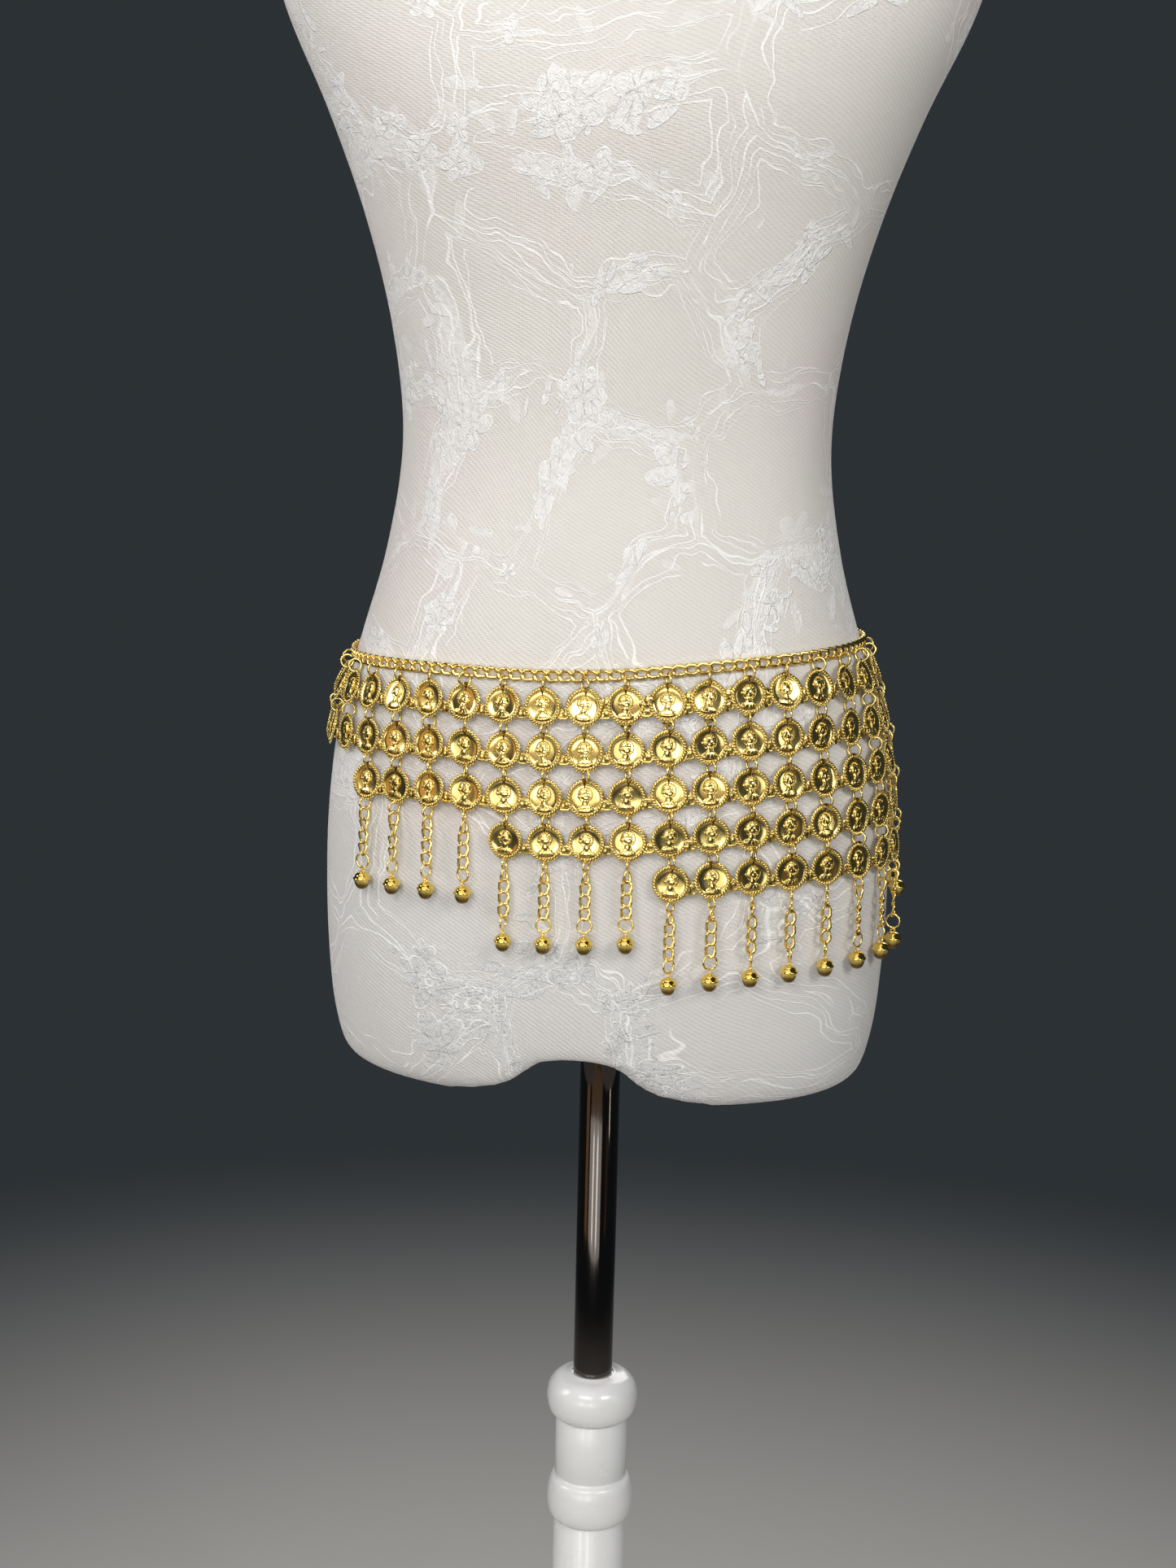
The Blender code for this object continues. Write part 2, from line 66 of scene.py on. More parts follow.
class Wire:
    """One output socket. Sums on it add Math nodes."""

    def __init__(self, finish, socket):
        self.finish, self.socket = finish, socket

    def also(self, output):
        """Another output of the same node."""
        return Wire(self.finish, self.socket.node.outputs[output])

    def maths(self, operation, *values):
        return self.finish.node("ShaderNodeMath", {"operation": operation}, dict(enumerate(values)))

    def __add__(self, other):
        return self.maths("ADD", self, other)

    def __sub__(self, other):
        return self.maths("SUBTRACT", self, other)

    def __rsub__(self, other):
        return self.maths("SUBTRACT", other, self)

    def __mul__(self, other):
        return self.maths("MULTIPLY", self, other)

    def __truediv__(self, other):
        return self.maths("DIVIDE", self, other)

    def __abs__(self):
        return self.maths("ABSOLUTE", self)

    __radd__ = __add__
    __rmul__ = __mul__


class Finish:
    """A material with one Principled shader. Every other node comes from node()."""

    def __init__(self, name, constants):
        self.material = bpy.data.materials.new(name)
        self.material.use_nodes = True
        self.tree = self.material.node_tree
        self.shader = self.tree.nodes["Principled BSDF"]
        for socket, value in constants.items():
            self.shader.inputs[socket].default_value = value

    def node(self, kind, settings=None, inputs=None, output=0):
        made = self.tree.nodes.new(kind)
        for setting, value in (settings or {}).items():
            setattr(made, setting, value)
        for socket, value in (inputs or {}).items():
            self.feed(made.inputs[socket], value)
        return Wire(self, made.outputs[output])

    def feed(self, socket, value):
        if isinstance(value, Wire):
            self.tree.links.new(value.socket, socket)
        else:
            socket.default_value = value

    def surface(self, **values):
        """Feeds the shader: base_color, roughness, metallic, normal and coat_weight."""
        for name, value in values.items():
            self.feed(self.shader.inputs[name.replace("_", " ").title()], value)

    def place(self):
        return self.node("ShaderNodeTexCoord", output="Object")

    def noise(self, vector, scale, detail=2.0, roughness=0.5):
        inputs = {"Vector": vector, "Scale": scale, "Detail": detail, "Roughness": roughness}
        return self.node("ShaderNodeTexNoise", None, inputs)

    def ease(self, value, start, end):
        """From 0 at start to 1 at end, smoothly."""
        inputs = {"Value": value, "From Min": start, "From Max": end}
        return self.node("ShaderNodeMapRange", {"interpolation_type": "SMOOTHSTEP"}, inputs)

    def blend(self, share, first, second):
        first, second = ((*c, 1) if isinstance(c, tuple) else c for c in (first, second))
        return self.node("ShaderNodeMix", {"data_type": "RGBA"}, {0: share, 6: first, 7: second}, 2)

    def bump(self, height):
        """A bump from a height in metres."""
        return self.node("ShaderNodeBump", None, {"Strength": 1.0, "Distance": 1.0, "Height": height})


def piece_from(name, bm, finish, body="root"):
    """Closes a bmesh into a smooth-shaded piece that rides on a body."""
    for face in bm.faces:
        face.smooth = True
    mesh = bpy.data.meshes.new(name)
    bm.to_mesh(mesh)
    bm.free()
    mesh.materials.append(finish.material)
    made = bpy.data.objects.new(name, mesh)
    bpy.context.scene.collection.objects.link(made)
    if body:
        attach(made, body)
    return made


side = (math.sin(CAMERA_SIDE), math.cos(CAMERA_SIDE))
drop = (math.sin(CAMERA_DROP), math.cos(CAMERA_DROP))
forward = Vector((-side[0] * drop[1], side[1] * drop[1], -drop[0]))
right = Vector((side[1], side[0], 0))
up = right.cross(forward)
forward, right = (
    forward * math.cos(CAMERA_TURN) - right * math.sin(CAMERA_TURN),
    right * math.cos(CAMERA_TURN) + forward * math.sin(CAMERA_TURN),
)
right, up = (
    right * math.cos(CAMERA_ROLL) + up * math.sin(CAMERA_ROLL),
    up * math.cos(CAMERA_ROLL) - right * math.sin(CAMERA_ROLL),
)
camera = bpy.data.objects.new("camera", bpy.data.cameras.new("camera"))
camera.data.lens = SENSOR_SIZE * FOCAL_PIXELS / PHOTO_HEIGHT_PIXELS
camera.matrix_world = Matrix.Translation(
    (CAMERA_DISTANCE * side[0], -CAMERA_DISTANCE * side[1], CAMERA_HEIGHT)
) @ Matrix((right, up, -forward)).transposed().to_4x4()
bpy.context.scene.collection.objects.link(camera)
bpy.context.scene.camera = camera

SOFT_LIGHTS = (
    # name, place, aim, width, height, brightness, colour
    ("front_low", (-0.40, -2.75, 0.60), (-0.4, 0.0, 0.60), 3.6, 1.00, 1.30, (1.0, 0.99, 0.96)),
    ("left_pane", (-0.85, -2.72, 0.60), (-0.85, 0.0, 0.60), 0.34, 0.76, 4.2, (1.0, 0.99, 0.96)),
    ("right_pane", (0.25, -2.72, 0.60), (0.25, 0.0, 0.60), 0.34, 0.76, 4.2, (1.0, 0.99, 0.96)),
    ("front_amber", (-0.3, -2.7, 1.30), (0.0, 0.0, 0.95), 3.2, 0.35, 0.28, (1.0, 0.60, 0.26)),
    ("front_window", (-0.25, -1.6, 1.78), (0.0, 0.0, 1.20), 1.1, 0.7, 5.8, (1.0, 0.99, 0.97)),
    ("left_window", (-2.3, -0.7, 1.9), (0.0, 0.0, 1.0), 0.8, 1.3, 5.4, (0.97, 0.98, 1.0)),
    ("right_high", (1.8, -1.7, 2.25), (0.0, 0.0, 1.0), 1.0, 0.8, 10.5, (1.0, 0.98, 0.96)),
    ("right_strip", (2.5, -0.9, 1.5), (0.0, 0.0, 1.0), 0.14, 1.4, 6.0, (1.0, 0.97, 0.93)),
    ("back_fill", (0.3, 2.6, 2.2), (0.0, 0.0, 0.9), 2.0, 1.6, 3.2, (1.0, 0.98, 0.96)),
    ("ceiling", (-0.2, -0.5, 3.0), (0.0, 0.0, 0.9), 2.2, 2.0, 1.1, (1.0, 0.99, 0.98)),
    ("warm_left", (-1.9, -1.3, 0.85), (0.0, 0.0, 0.9), 0.7, 1.2, 0.50, (1.0, 0.56, 0.20)),
    ("warm_right", (1.9, -1.2, 0.6), (0.0, 0.0, 0.9), 0.5, 0.6, 0.10, (1.0, 0.50, 0.18)),
)
for name, place, aim, width, height, brightness, colour in SOFT_LIGHTS:
    lamp = bpy.data.lights.new(name, "AREA")
    lamp.shape = "RECTANGLE"
    lamp.size, lamp.size_y, lamp.color = width, height, colour
    lamp.energy = brightness * math.pi * width * height
    light = bpy.data.objects.new(name, lamp)
    look = (Vector(aim) - Vector(place)).to_track_quat("-Z", "Y")
    light.matrix_world = Matrix.Translation(place) @ look.to_matrix().to_4x4()
    bpy.context.scene.collection.objects.link(light)

world = bpy.data.worlds.new("dark_room")
world.use_nodes = True
world.node_tree.nodes["Background"].inputs["Color"].default_value = (*ROOM_DARK, 1)
bpy.context.scene.world = world
bpy.context.scene.view_settings.view_transform = "Standard"

floor_paint = Finish(
    "pale_floor", {"Roughness": 1.0, "Specular IOR Level": 0.0, "Emission Strength": 1.0}
)
# Painted falloff of light: the floor's colour goes from pale to black outwards, and its emission, a painted
# glow, goes from none to the room's dark colour.
reach = floor_paint.node("ShaderNodeVectorMath", {"operation": "LENGTH"}, {0: floor_paint.place()}, 1)
away = floor_paint.ease(reach, *FLOOR_PAINTED_FALLOFF)
floor_paint.surface(
    base_color=floor_paint.blend(away, FLOOR_PALE, (0.0, 0.0, 0.0)),
    emission_color=floor_paint.blend(away, (0.0, 0.0, 0.0), ROOM_DARK),
)
bm = bmesh.new()
bmesh.ops.create_circle(
    bm, cap_ends=True, segments=96, radius=FLOOR_RADIUS, matrix=Matrix.Translation((0, 0, -0.5 * MM))
)
piece_from("floor", bm, floor_paint, body=None)

# The dress form. A padded torso with no limbs, under its own stretch cover of white floral lace
# that is pulled tight over a knitted lining and closed by one seam at the centre of the back.

FORM_SECTIONS = (
    # height, half_width, front, back, squareness
    (0.727, 0.1560, 0.098, 0.100, 2.2),
    (0.760, 0.1640, 0.106, 0.110, 2.2),
    (0.800, 0.1675, 0.111, 0.118, 2.2),
    (0.836, 0.1686, 0.112, 0.121, 2.2),
    (0.879, 0.1675, 0.113, 0.117, 2.2),
    (0.928, 0.1620, 0.112, 0.106, 2.2),
    (0.980, 0.1490, 0.108, 0.092, 2.2),
    (1.035, 0.1335, 0.100, 0.083, 2.15),
    (1.098, 0.1247, 0.091, 0.082, 2.1),
    (1.161, 0.1310, 0.097, 0.087, 2.1),
    (1.223, 0.1467, 0.110, 0.093, 2.1),
    (1.283, 0.1690, 0.124, 0.097, 2.1),
    (1.343, 0.1960, 0.119, 0.100, 2.1),
    (1.388, 0.2040, 0.106, 0.100, 2.1),
    (1.425, 0.1910, 0.090, 0.097, 2.1),
    (1.452, 0.1570, 0.076, 0.090, 2.1),
    (1.474, 0.1080, 0.064, 0.078, 2.05),
    (1.494, 0.0700, 0.055, 0.066, 2.0),
    (1.520, 0.0570, 0.050, 0.059, 2.0),
    (1.560, 0.0540, 0.049, 0.056, 2.0),
)
FORM_BOTTOM, FORM_TOP = FORM_SECTIONS[0][0], FORM_SECTIONS[-1][0]
FORM_AROUND = 96
FORM_LEVELS = 64
HEM_ROUNDING = 12 * MM
NECK_ROUNDING = 6 * MM
ARCH_PROFILE = (
    # half_width, height over the hem
    (82 * MM, -4 * MM),
    (66 * MM, 2 * MM),
    (48 * MM, 6.5 * MM),
    (35 * MM, 12.5 * MM),
    (28 * MM, 20 * MM),
    (20 * MM, 26 * MM),
    (8 * MM, 29 * MM),
)
ARCH_DEPTH = 150 * MM
ARCH_WIDENING_BEHIND = 1.35
POLE_RADIUS = 12.2 * MM
POLE_HOLE_RADIUS = POLE_RADIUS + 0.5 * MM
POLE_HOLE_DEPTH = 82 * MM
COVER_GRAIN = 4 * MM
LACE_GIRTH = 0.135
GARLAND_PITCH = 104 * MM
GARLAND_SQUEEZE = 1.38
FLOWERS = (
    # pitch, size, petals, how far from a garland they grow: the large ones, then the small
    (46 * MM, 19 * MM, 6, 13 * MM),
    (23 * MM, 8.5 * MM, 5, 16 * MM),
)
LEAF_PITCH = 17 * MM
STEMS = (
    # offset from the garland's middle, waves, how far it wanders, thickness
    (1.5, 26, 14, 0.9),
    (8.0, 33, 16, 0.8),
    (12.0, 47, 11, 0.7),
    (16.0, 21, 22, 0.7),
)
NET_PITCH, SATIN_PITCH, COURSE_PITCH = 1.8 * MM, 2.0 * MM, 2.3 * MM
LINING_TONES = (0.745, 0.722, 0.680), (0.752, 0.700, 0.675), (0.715, 0.705, 0.695)
NET_SHADE = (0.52, 0.500, 0.485)
THREAD_WHITE, LOW_THREAD_WHITE = (0.90, 0.890, 0.884), (0.740, 0.742, 0.745)
HOLE_SHADE, CREASE_SHADE = (0.54, 0.55, 0.565), (0.54, 0.525, 0.51)
PLEAT_PAINTED_HIGHLIGHT, CORD_WHITE = (0.90, 0.895, 0.89), (0.94, 0.935, 0.925)


def between_rows(height):
    """The form's measures at a height: a smooth curve through the table's rows."""
    rows = FORM_SECTIONS
    index = max(0, min(len(rows) - 2, sum(row[0] <= height for row in rows) - 1))
    low, high = rows[index], rows[index + 1]
    before, after = rows[max(index - 1, 0)], rows[min(index + 2, len(rows) - 1)]
    span = high[0] - low[0]
    share = (height - low[0]) / span
    measures = []
    for column in range(1, len(low)):
        start = (high[column] - before[column]) / (high[0] - before[0]) * span
        end = (after[column] - low[column]) / (after[0] - low[0]) * span
        rise = high[column] - low[column]
        bend = share * (share - 1) ** 2 * (start - rise) + share**2 * (share - 1) * (end - rise)
        measures.append(low[column] + share * rise + bend)
    return measures


def form_point(measures, angle, out=0.0):
    """A point of a section: angle 0 is the wearer's left side (+X), -90 degrees the front."""
    half_width, front, back, squareness = measures
    cosine, sine = math.cos(angle), math.sin(angle)
    depth = (front if sine < 0 else back) + out
    power = 2 / squareness
    return (
        math.copysign(abs(cosine) ** power, cosine) * (half_width + out),
        math.copysign(abs(sine) ** power, sine) * depth,
    )


def torso():
    """The body, ring by ring from the hem to the neck."""
    bm = bmesh.new()
    bmesh.ops.create_circle(bm, cap_ends=True, segments=FORM_AROUND, radius=1)
    turn = bm.verts.layers.float.new("turn")
    for vertex in bm.verts:
        vertex[turn] = math.atan2(vertex.co.y, vertex.co.x)
    levels = []
    for step in range(5):
        angle = math.radians(22.5 * step)
        rise, inset = HEM_ROUNDING * (1 - math.cos(angle)), HEM_ROUNDING * (1 - math.sin(angle))
        levels.append((FORM_BOTTOM + rise, inset))
    low, high = FORM_BOTTOM + HEM_ROUNDING, FORM_TOP - NECK_ROUNDING
    levels += [(low + (high - low) * step / FORM_LEVELS, 0.0) for step in range(1, FORM_LEVELS + 1)]
    for step in range(1, 4):
        angle = math.radians(30 * step)
        rise, inset = NECK_ROUNDING * math.sin(angle), NECK_ROUNDING * (1 - math.cos(angle))
        levels.append((high + rise, inset))
    verts, edges = list(bm.verts), list(bm.edges)
    for index, (height, inset) in enumerate(levels):
        if index:
            grown = bmesh.ops.extrude_edge_only(bm, edges=edges)["geom"]
            verts = [thing for thing in grown if isinstance(thing, bmesh.types.BMVert)]
            edges = [thing for thing in grown if isinstance(thing, bmesh.types.BMEdge)]
        measures = between_rows(height)
        for vertex in verts:
            vertex.co = (*form_point(measures, vertex[turn], -inset), height)
    bmesh.ops.contextual_create(bm, geom=edges)
    bmesh.ops.recalc_face_normals(bm, faces=bm.faces)
    return bm


def arch_block():
    """What is cut away between the thighs."""
    bm = bmesh.new()
    outline = [(-width, height) for width, height in ARCH_PROFILE]
    outline += [(width, height) for width, height in reversed(ARCH_PROFILE)]
    corners = [(across, -ARCH_DEPTH, FORM_BOTTOM + height) for across, height in outline]
    front = bm.faces.new([bm.verts.new(corner) for corner in corners])
    grown = bmesh.ops.extrude_face_region(bm, geom=[front])["geom"]
    behind = [thing for thing in grown if isinstance(thing, bmesh.types.BMVert)]
    bmesh.ops.translate(bm, vec=(0, 2 * ARCH_DEPTH, 0), verts=behind)
    bmesh.ops.scale(bm, vec=(ARCH_WIDENING_BEHIND, 1, 1), verts=behind)
    bmesh.ops.recalc_face_normals(bm, faces=bm.faces)
    return bm


def pole_hole():
    """The hole that the pole goes up into."""
    bm = bmesh.new()
    bmesh.ops.create_cone(
        bm,
        cap_ends=True,
        segments=40,
        radius1=POLE_HOLE_RADIUS,
        radius2=POLE_HOLE_RADIUS,
        depth=POLE_HOLE_DEPTH,
        matrix=Matrix.Translation((0, 0, FORM_BOTTOM + ARCH_PROFILE[-1][1])),
    )
    return bm


def lace_cover():
    """White lace over a lining: flowers, leaves and cords, raised on a fine net."""
    lace = Finish("lace_cover", {"Specular IOR Level": 0.25, "Sheen Weight": 0.2, "Sheen Roughness": 0.5})
    place = lace.place()
    x = lace.node("ShaderNodeSeparateXYZ", None, {0: place})
    y, z = x.also(1), x.also(2)
    around = x.maths("ARCTAN2", x, 0 - y) * LACE_GIRTH
    flat = lace.node("ShaderNodeCombineXYZ", None, {0: around, 1: z})

    def warped(amount, scale, base=flat):
        sway = lace.noise(base, scale, 1.0).also("Color")
        offset = {0: sway, 1: (amount,) * 3, 2: (-amount / 2,) * 3}
        offset = lace.node("ShaderNodeVectorMath", {"operation": "MULTIPLY_ADD"}, offset)
        return lace.node("ShaderNodeVectorMath", {"operation": "ADD"}, {0: base, 1: offset})

    def motif_cells(vector, pitch, randomness):
        """The nearest motif centre: its distance away, its angle, a seed, and its place."""
        inputs = {"Vector": vector, "Scale": 1 / pitch, "Randomness": randomness}
        cells = lace.node("ShaderNodeTexVoronoi", {"voronoi_dimensions": "2D"}, inputs)
        apart = {0: vector, 1: cells.also("Position")}
        apart = lace.node("ShaderNodeVectorMath", {"operation": "SUBTRACT"}, apart)
        across = lace.node("ShaderNodeSeparateXYZ", None, {0: apart})
        seeds = lace.node("ShaderNodeSeparateColor", None, {0: cells.also("Color")})
        distance = lace.node("ShaderNodeVectorMath", {"operation": "LENGTH"}, {0: apart}, 1)
        angle = across.maths("ARCTAN2", across.also(1), across) + seeds * 6.283
        return distance, angle, seeds.also(1), cells.also("Position")

    # garlands branch over the body, with plain net between them
    def vine(vector):
        """How far it is to the middle of the nearest garland, in metres."""
        squeezed = {0: vector, 1: (1.0, GARLAND_SQUEEZE, 1.0)}
        squeezed = lace.node("ShaderNodeVectorMath", {"operation": "MULTIPLY"}, squeezed)
        cells = {"Vector": squeezed, "Scale": 1 / GARLAND_PITCH, "Randomness": 1.0}
        settings = {"voronoi_dimensions": "2D", "feature": "DISTANCE_TO_EDGE"}
        return lace.node("ShaderNodeTexVoronoi", settings, cells) * GARLAND_PITCH

    field = warped(60 * MM, 10)
    away = vine(warped(15 * MM, 42, field))
    dense = lace.ease(lace.noise(flat, 8.5, 1.0), 0.45, 0.57)
    garland = lace.ease(away - lace.noise(flat, 30, 2.0, 0.6) * dense * 17 * MM, 1.2 * MM, -1.2 * MM)
    frill = (lace.noise(flat, 300, 2.0, 0.6) - 0.5) * 1.6 * MM

    def blossom(pitch, size, petals, spread):
        """Flowers by the garlands: distance from the centre and the petals, lobe, size, share."""
        distance, angle, seed, spot = motif_cells(field, pitch, 0.9)
        shown = lace.ease(vine(spot) + (1 - dense) * 14 * MM, spread + 2 * MM, spread - 2 * MM)
        lobe = abs((angle * petals / 2).maths("COSINE", angle * petals / 2))
        grown = seed * 0.45 + 0.75
        inside = distance - grown * size * (lobe * 0.42 + 0.58) + frill
        return distance, inside, lobe, grown, shown

    distance, inside, lobe, grown, shown = blossom(*FLOWERS[0])
    outer = lace.ease(inside, 0.7 * MM, -0.5 * MM) * shown
    outer_edge = lace.ease(abs(inside), 0.9 * MM, 0.2 * MM) * shown
    dome = lace.ease(inside, 0.0, -5 * MM) * shown
    inner_line = distance - grown * 9 * MM * (lobe * -0.4 + 1.0) + frill
    inner = lace.ease(inner_line, 0.8 * MM, -0.4 * MM) * shown
    inner_edge = lace.ease(abs(inner_line), 0.9 * MM, 0.2 * MM) * shown
    heart = lace.ease(abs(distance - 2.6 * MM), 1.1 * MM, 0.3 * MM) * shown
    crease = lace.ease(lobe, 0.30, 0.02) * outer * (1 - inner)

    bare = 1 - outer
    _, small_inside, small_lobe, _, small_shown = blossom(*FLOWERS[1])
    small = lace.ease(small_inside, 0.6 * MM, -0.4 * MM) * small_shown * bare
    small_edge = lace.ease(abs(small_inside), 0.8 * MM, 0.2 * MM) * small_shown * bare
    crease = crease + lace.ease(small_lobe, 0.30, 0.02) * small
    small_dome = lace.ease(small_inside, 0.0, -3 * MM) * small_shown * bare

    leaf_distance, leaf_angle, leaf_size, leaf_spot = motif_cells(warped(10 * MM, 36), LEAF_PITCH, 1.0)
    leaf_shown = lace.ease(vine(leaf_spot) + (1 - dense) * 18 * MM, 22 * MM, 16 * MM)
    along = leaf_distance * leaf_angle.maths("COSINE", leaf_angle)
    across = leaf_distance * leaf_angle.maths("SINE", leaf_angle)
    reach = along * along + across * across * 9
    leaf_line = reach.maths("SQRT", reach) - leaf_size * 6 * MM - 6 * MM + frill
    free = bare * (1 - small) * leaf_shown
    leaf = lace.ease(leaf_line, 0.7 * MM, -0.4 * MM) * free
    leaf_edge = lace.ease(abs(leaf_line), 0.8 * MM, 0.2 * MM) * free

    def stem(offset, scale, sway, thin):
        """A cord that wanders beside a garland's middle and breaks off here and there."""
        wander = (lace.noise(flat, scale, 1.0) - 0.5) * sway
        kept = lace.ease(lace.noise(flat, scale * 0.6 + 3, 0.0), 0.40, 0.47)
        return lace.ease(abs(away + wander - offset), thin, 0.3 * thin) * kept

    stems = [
        stem(offset * MM, scale, sway * MM, thin * MM) * bare
        for offset, scale, sway, thin in STEMS
    ]

    def threads(pitch, turn, share=1.0):
        """Two sets of crossing threads."""
        first = (around * math.cos(turn) + z * math.sin(turn)) * (2 * math.pi / pitch)
        second = (z * math.cos(turn) - around * math.sin(turn)) * (2 * math.pi / pitch * share)
        return first.maths("SINE", first) * second.maths("SINE", second)

    drawn = lace.node("ShaderNodeSeparateXYZ", None, {0: warped(34 * MM, 7)})
    courses = (drawn * 0.50 + drawn.also(1) * 0.87) * (2 * math.pi / COURSE_PITCH)
    net = threads(NET_PITCH, math.radians(38)) * 0.6 + courses.maths("SINE", courses) * 0.4
    satin = threads(SATIN_PITCH, math.radians(14))
    motif = outer.maths("MAXIMUM", outer, small)
    motif = motif.maths("MAXIMUM", motif, leaf)
    flank = lace.ease(z, FORM_TOP - 1 * MM, FORM_TOP - 4 * MM)
    motif = motif.maths("MAXIMUM", motif, garland * 0.6) * flank
    cord = outer_edge
    for edge in (inner_edge, heart, small_edge, leaf_edge, *stems):
        cord = cord.maths("MAXIMUM", cord, edge)
    cord = cord * flank
    ruffle = lace.noise(warped(7 * MM, 95), 230, 3.0, 0.62)
    pleat = lace.ease(abs(ruffle - 0.5), 0.055, 0.0)
    rumple = lace.noise(flat, 12, 2.0)
    height = (
        net * (1 - motif) * flank * 0.15 * MM
        + (dome * 0.34 + small_dome * 0.24 + leaf * 0.10 + inner * 0.12) * MM
        + satin * motif * 0.10 * MM
        + cord * 0.22 * MM
        - crease * 0.24 * MM
        + motif * ((ruffle - 0.45) * 2.0 + pleat * 0.20) * MM
        + ruffle * 0.25 * MM
        + rumple * 2.0 * MM
    )
    seam = lace.ease(abs(x), 1.6 * MM, 0.5 * MM) * lace.ease(y, 0.0, 10 * MM)
    height = height - seam * 1.0 * MM

    low = lace.ease(z, 0.90, 0.86)
    patches = lace.ease(lace.noise(place, 7.5, 1.0), 0.44, 0.62)
    ground = lace.blend(patches, *LINING_TONES[:2])
    ground = lace.blend(low, ground, LINING_TONES[2])
    ground = lace.blend(net * flank * 0.26 + 0.16, ground, NET_SHADE)
    white = lace.blend(low, THREAD_WHITE, LOW_THREAD_WHITE)
    colour = lace.blend(motif * (satin * 0.15 + 0.80), ground, white)
    holes = lace.ease(satin, 0.1, -0.7) * motif * (1 - cord)
    colour = lace.blend(holes * (low * 0.60 + 0.06), colour, HOLE_SHADE)
    # Painted highlight: the ruffles' ridges on the motifs are painted whiter.
    colour = lace.blend(pleat * motif * (0.5 - low * 0.25), colour, PLEAT_PAINTED_HIGHLIGHT)
    colour = lace.blend(cord * 0.85, colour, CORD_WHITE)
    colour = lace.blend(crease * 0.35 + seam * 0.4, colour, CREASE_SHADE)
    lace.surface(
        base_color=colour, roughness=0.85 - motif * 0.30 - cord * 0.1, normal=lace.bump(height)
    )
    return lace


blank = Finish("blank", {})
form = piece_from("form_in_lace", torso(), blank)
cutters = [piece_from("arch", arch_block(), blank, None), piece_from("hole", pole_hole(), blank, None)]
steps = [
    ("BOOLEAN", {"operation": "DIFFERENCE", "object": cutters[0]}),
    ("REMESH", {"mode": "VOXEL", "voxel_size": COVER_GRAIN, "use_smooth_shade": True}),
    ("SMOOTH", {"factor": 0.5, "iterations": 8}),
    ("BOOLEAN", {"operation": "DIFFERENCE", "object": cutters[1]}),
]
for kind, settings in steps:
    modifier = form.modifiers.new(kind.lower(), kind)
    for setting, value in settings.items():
        setattr(modifier, setting, value)
bpy.context.view_layer.update()
shaped = bpy.data.meshes.new_from_object(form.evaluated_get(bpy.context.evaluated_depsgraph_get()))
form.modifiers.clear()
form.data = shaped
for cutter in cutters:
    bpy.data.objects.remove(cutter)
form.data.materials.clear()
form.data.materials.append(lace_cover().material)
form.data.shade_smooth()
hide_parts("dress_form")

# The stand. A turned wooden post with a capped top and a collar stands on a round base, both
# sprayed gloss white. A black chrome pole comes out of the post and goes up into the form.

BASE_RADIUS = 175 * MM
BASE_THICKNESS = 22 * MM
POST_RADIUS = 22.5 * MM
POST_FOOT_RADIUS = 42 * MM
POST_TOP = 522 * MM
POST_BEADS = (
    # height, radius
    (508 * MM, 28.4 * MM),
    (439 * MM, 27 * MM),
)
BEAD_HALF_HEIGHT = 14 * MM
BEAD_GROOVE = (
    # depth, distance from the bead
    (0.0, 2.4 * MM),
    (0.7 * MM, 1.4 * MM),
    (0.7 * MM, 0.8 * MM),
)
CAP_PROFILE = (
    # radius, depth under the post's top
    (0.0, 1.2 * MM),
    (13.0 * MM, 1.2 * MM),
    (13.3 * MM, 0.3 * MM),
    (14.2 * MM, 0.3 * MM),
    (14.8 * MM, 0.9 * MM),
    (19.5 * MM, 1.3 * MM),
    (22.5 * MM, 2.6 * MM),
    (25.0 * MM, 4.8 * MM),
    (26.8 * MM, 7.4 * MM),
    (27.9 * MM, 10.4 * MM),
)
CAP_DEPTH = 12 * MM
POST_MIDDLE = 120 * MM
FOOT_PROFILE = (
    # radius, height over the base
    (POST_RADIUS, 44 * MM),
    (24 * MM, 34 * MM),
    (27.5 * MM, 22 * MM),
    (33 * MM, 13 * MM),
    (40 * MM, 8 * MM),
    (POST_FOOT_RADIUS, 6 * MM),
    (POST_FOOT_RADIUS, 0.0),
    (0.0, 0.0),
)
SEAT_GAP = 0.3 * MM
POLE_TOP = 795.7 * MM
POLE_CHAMFER = 1 * MM
TURNED_STEPS = 72
PAINT_WHITES = (0.76, 0.77, 0.775), (0.82, 0.82, 0.815)
PAINT_RUBBED = (0.68, 0.675, 0.665)
CHROME_DARK, CHROME_SCUFF = (0.115, 0.098, 0.088), (0.36, 0.33, 0.30)


def spin_round(bm, axis, steps):
    """Spins all that a bmesh holds once round an axis and closes it, with its faces outwards."""
    bmesh.ops.spin(
        bm,
        geom=bm.verts[:] + bm.edges[:],
        cent=(0, 0, 0),
        axis=axis,
        angle=2 * math.pi,
        steps=steps,
        use_merge=True,
    )
    bmesh.ops.remove_doubles(bm, verts=bm.verts, dist=0.01 * MM)
    bmesh.ops.recalc_face_normals(bm, faces=bm.faces)


def revolved(profile, axis, steps):
    """A solid of revolution from the points of a profile that starts and ends at the axis."""
    bm = bmesh.new()
    points = [bm.verts.new(point) for point in profile]
    for first, second in zip(points, points[1:]):
        bm.edges.new((first, second))
    spin_round(bm, axis, steps)
    return bm


def turned(name, profile, finish):
    """A piece turned about the upright axis from a profile of (radius, height)."""
    bm = revolved([(radius, 0, height) for radius, height in profile], (0, 0, 1), TURNED_STEPS)
    made = piece_from(name, bm, finish)
    made.data.set_sharp_from_angle(angle=math.radians(50))
    return made


def quarter(radius, height, size, start):
    """A quarter round of an edge, from its start angle down by 90 degrees."""
    angles = [math.radians(start - 15 * step) for step in range(7)]
    return [(radius + size * math.cos(a), height + size * math.sin(a)) for a in angles]


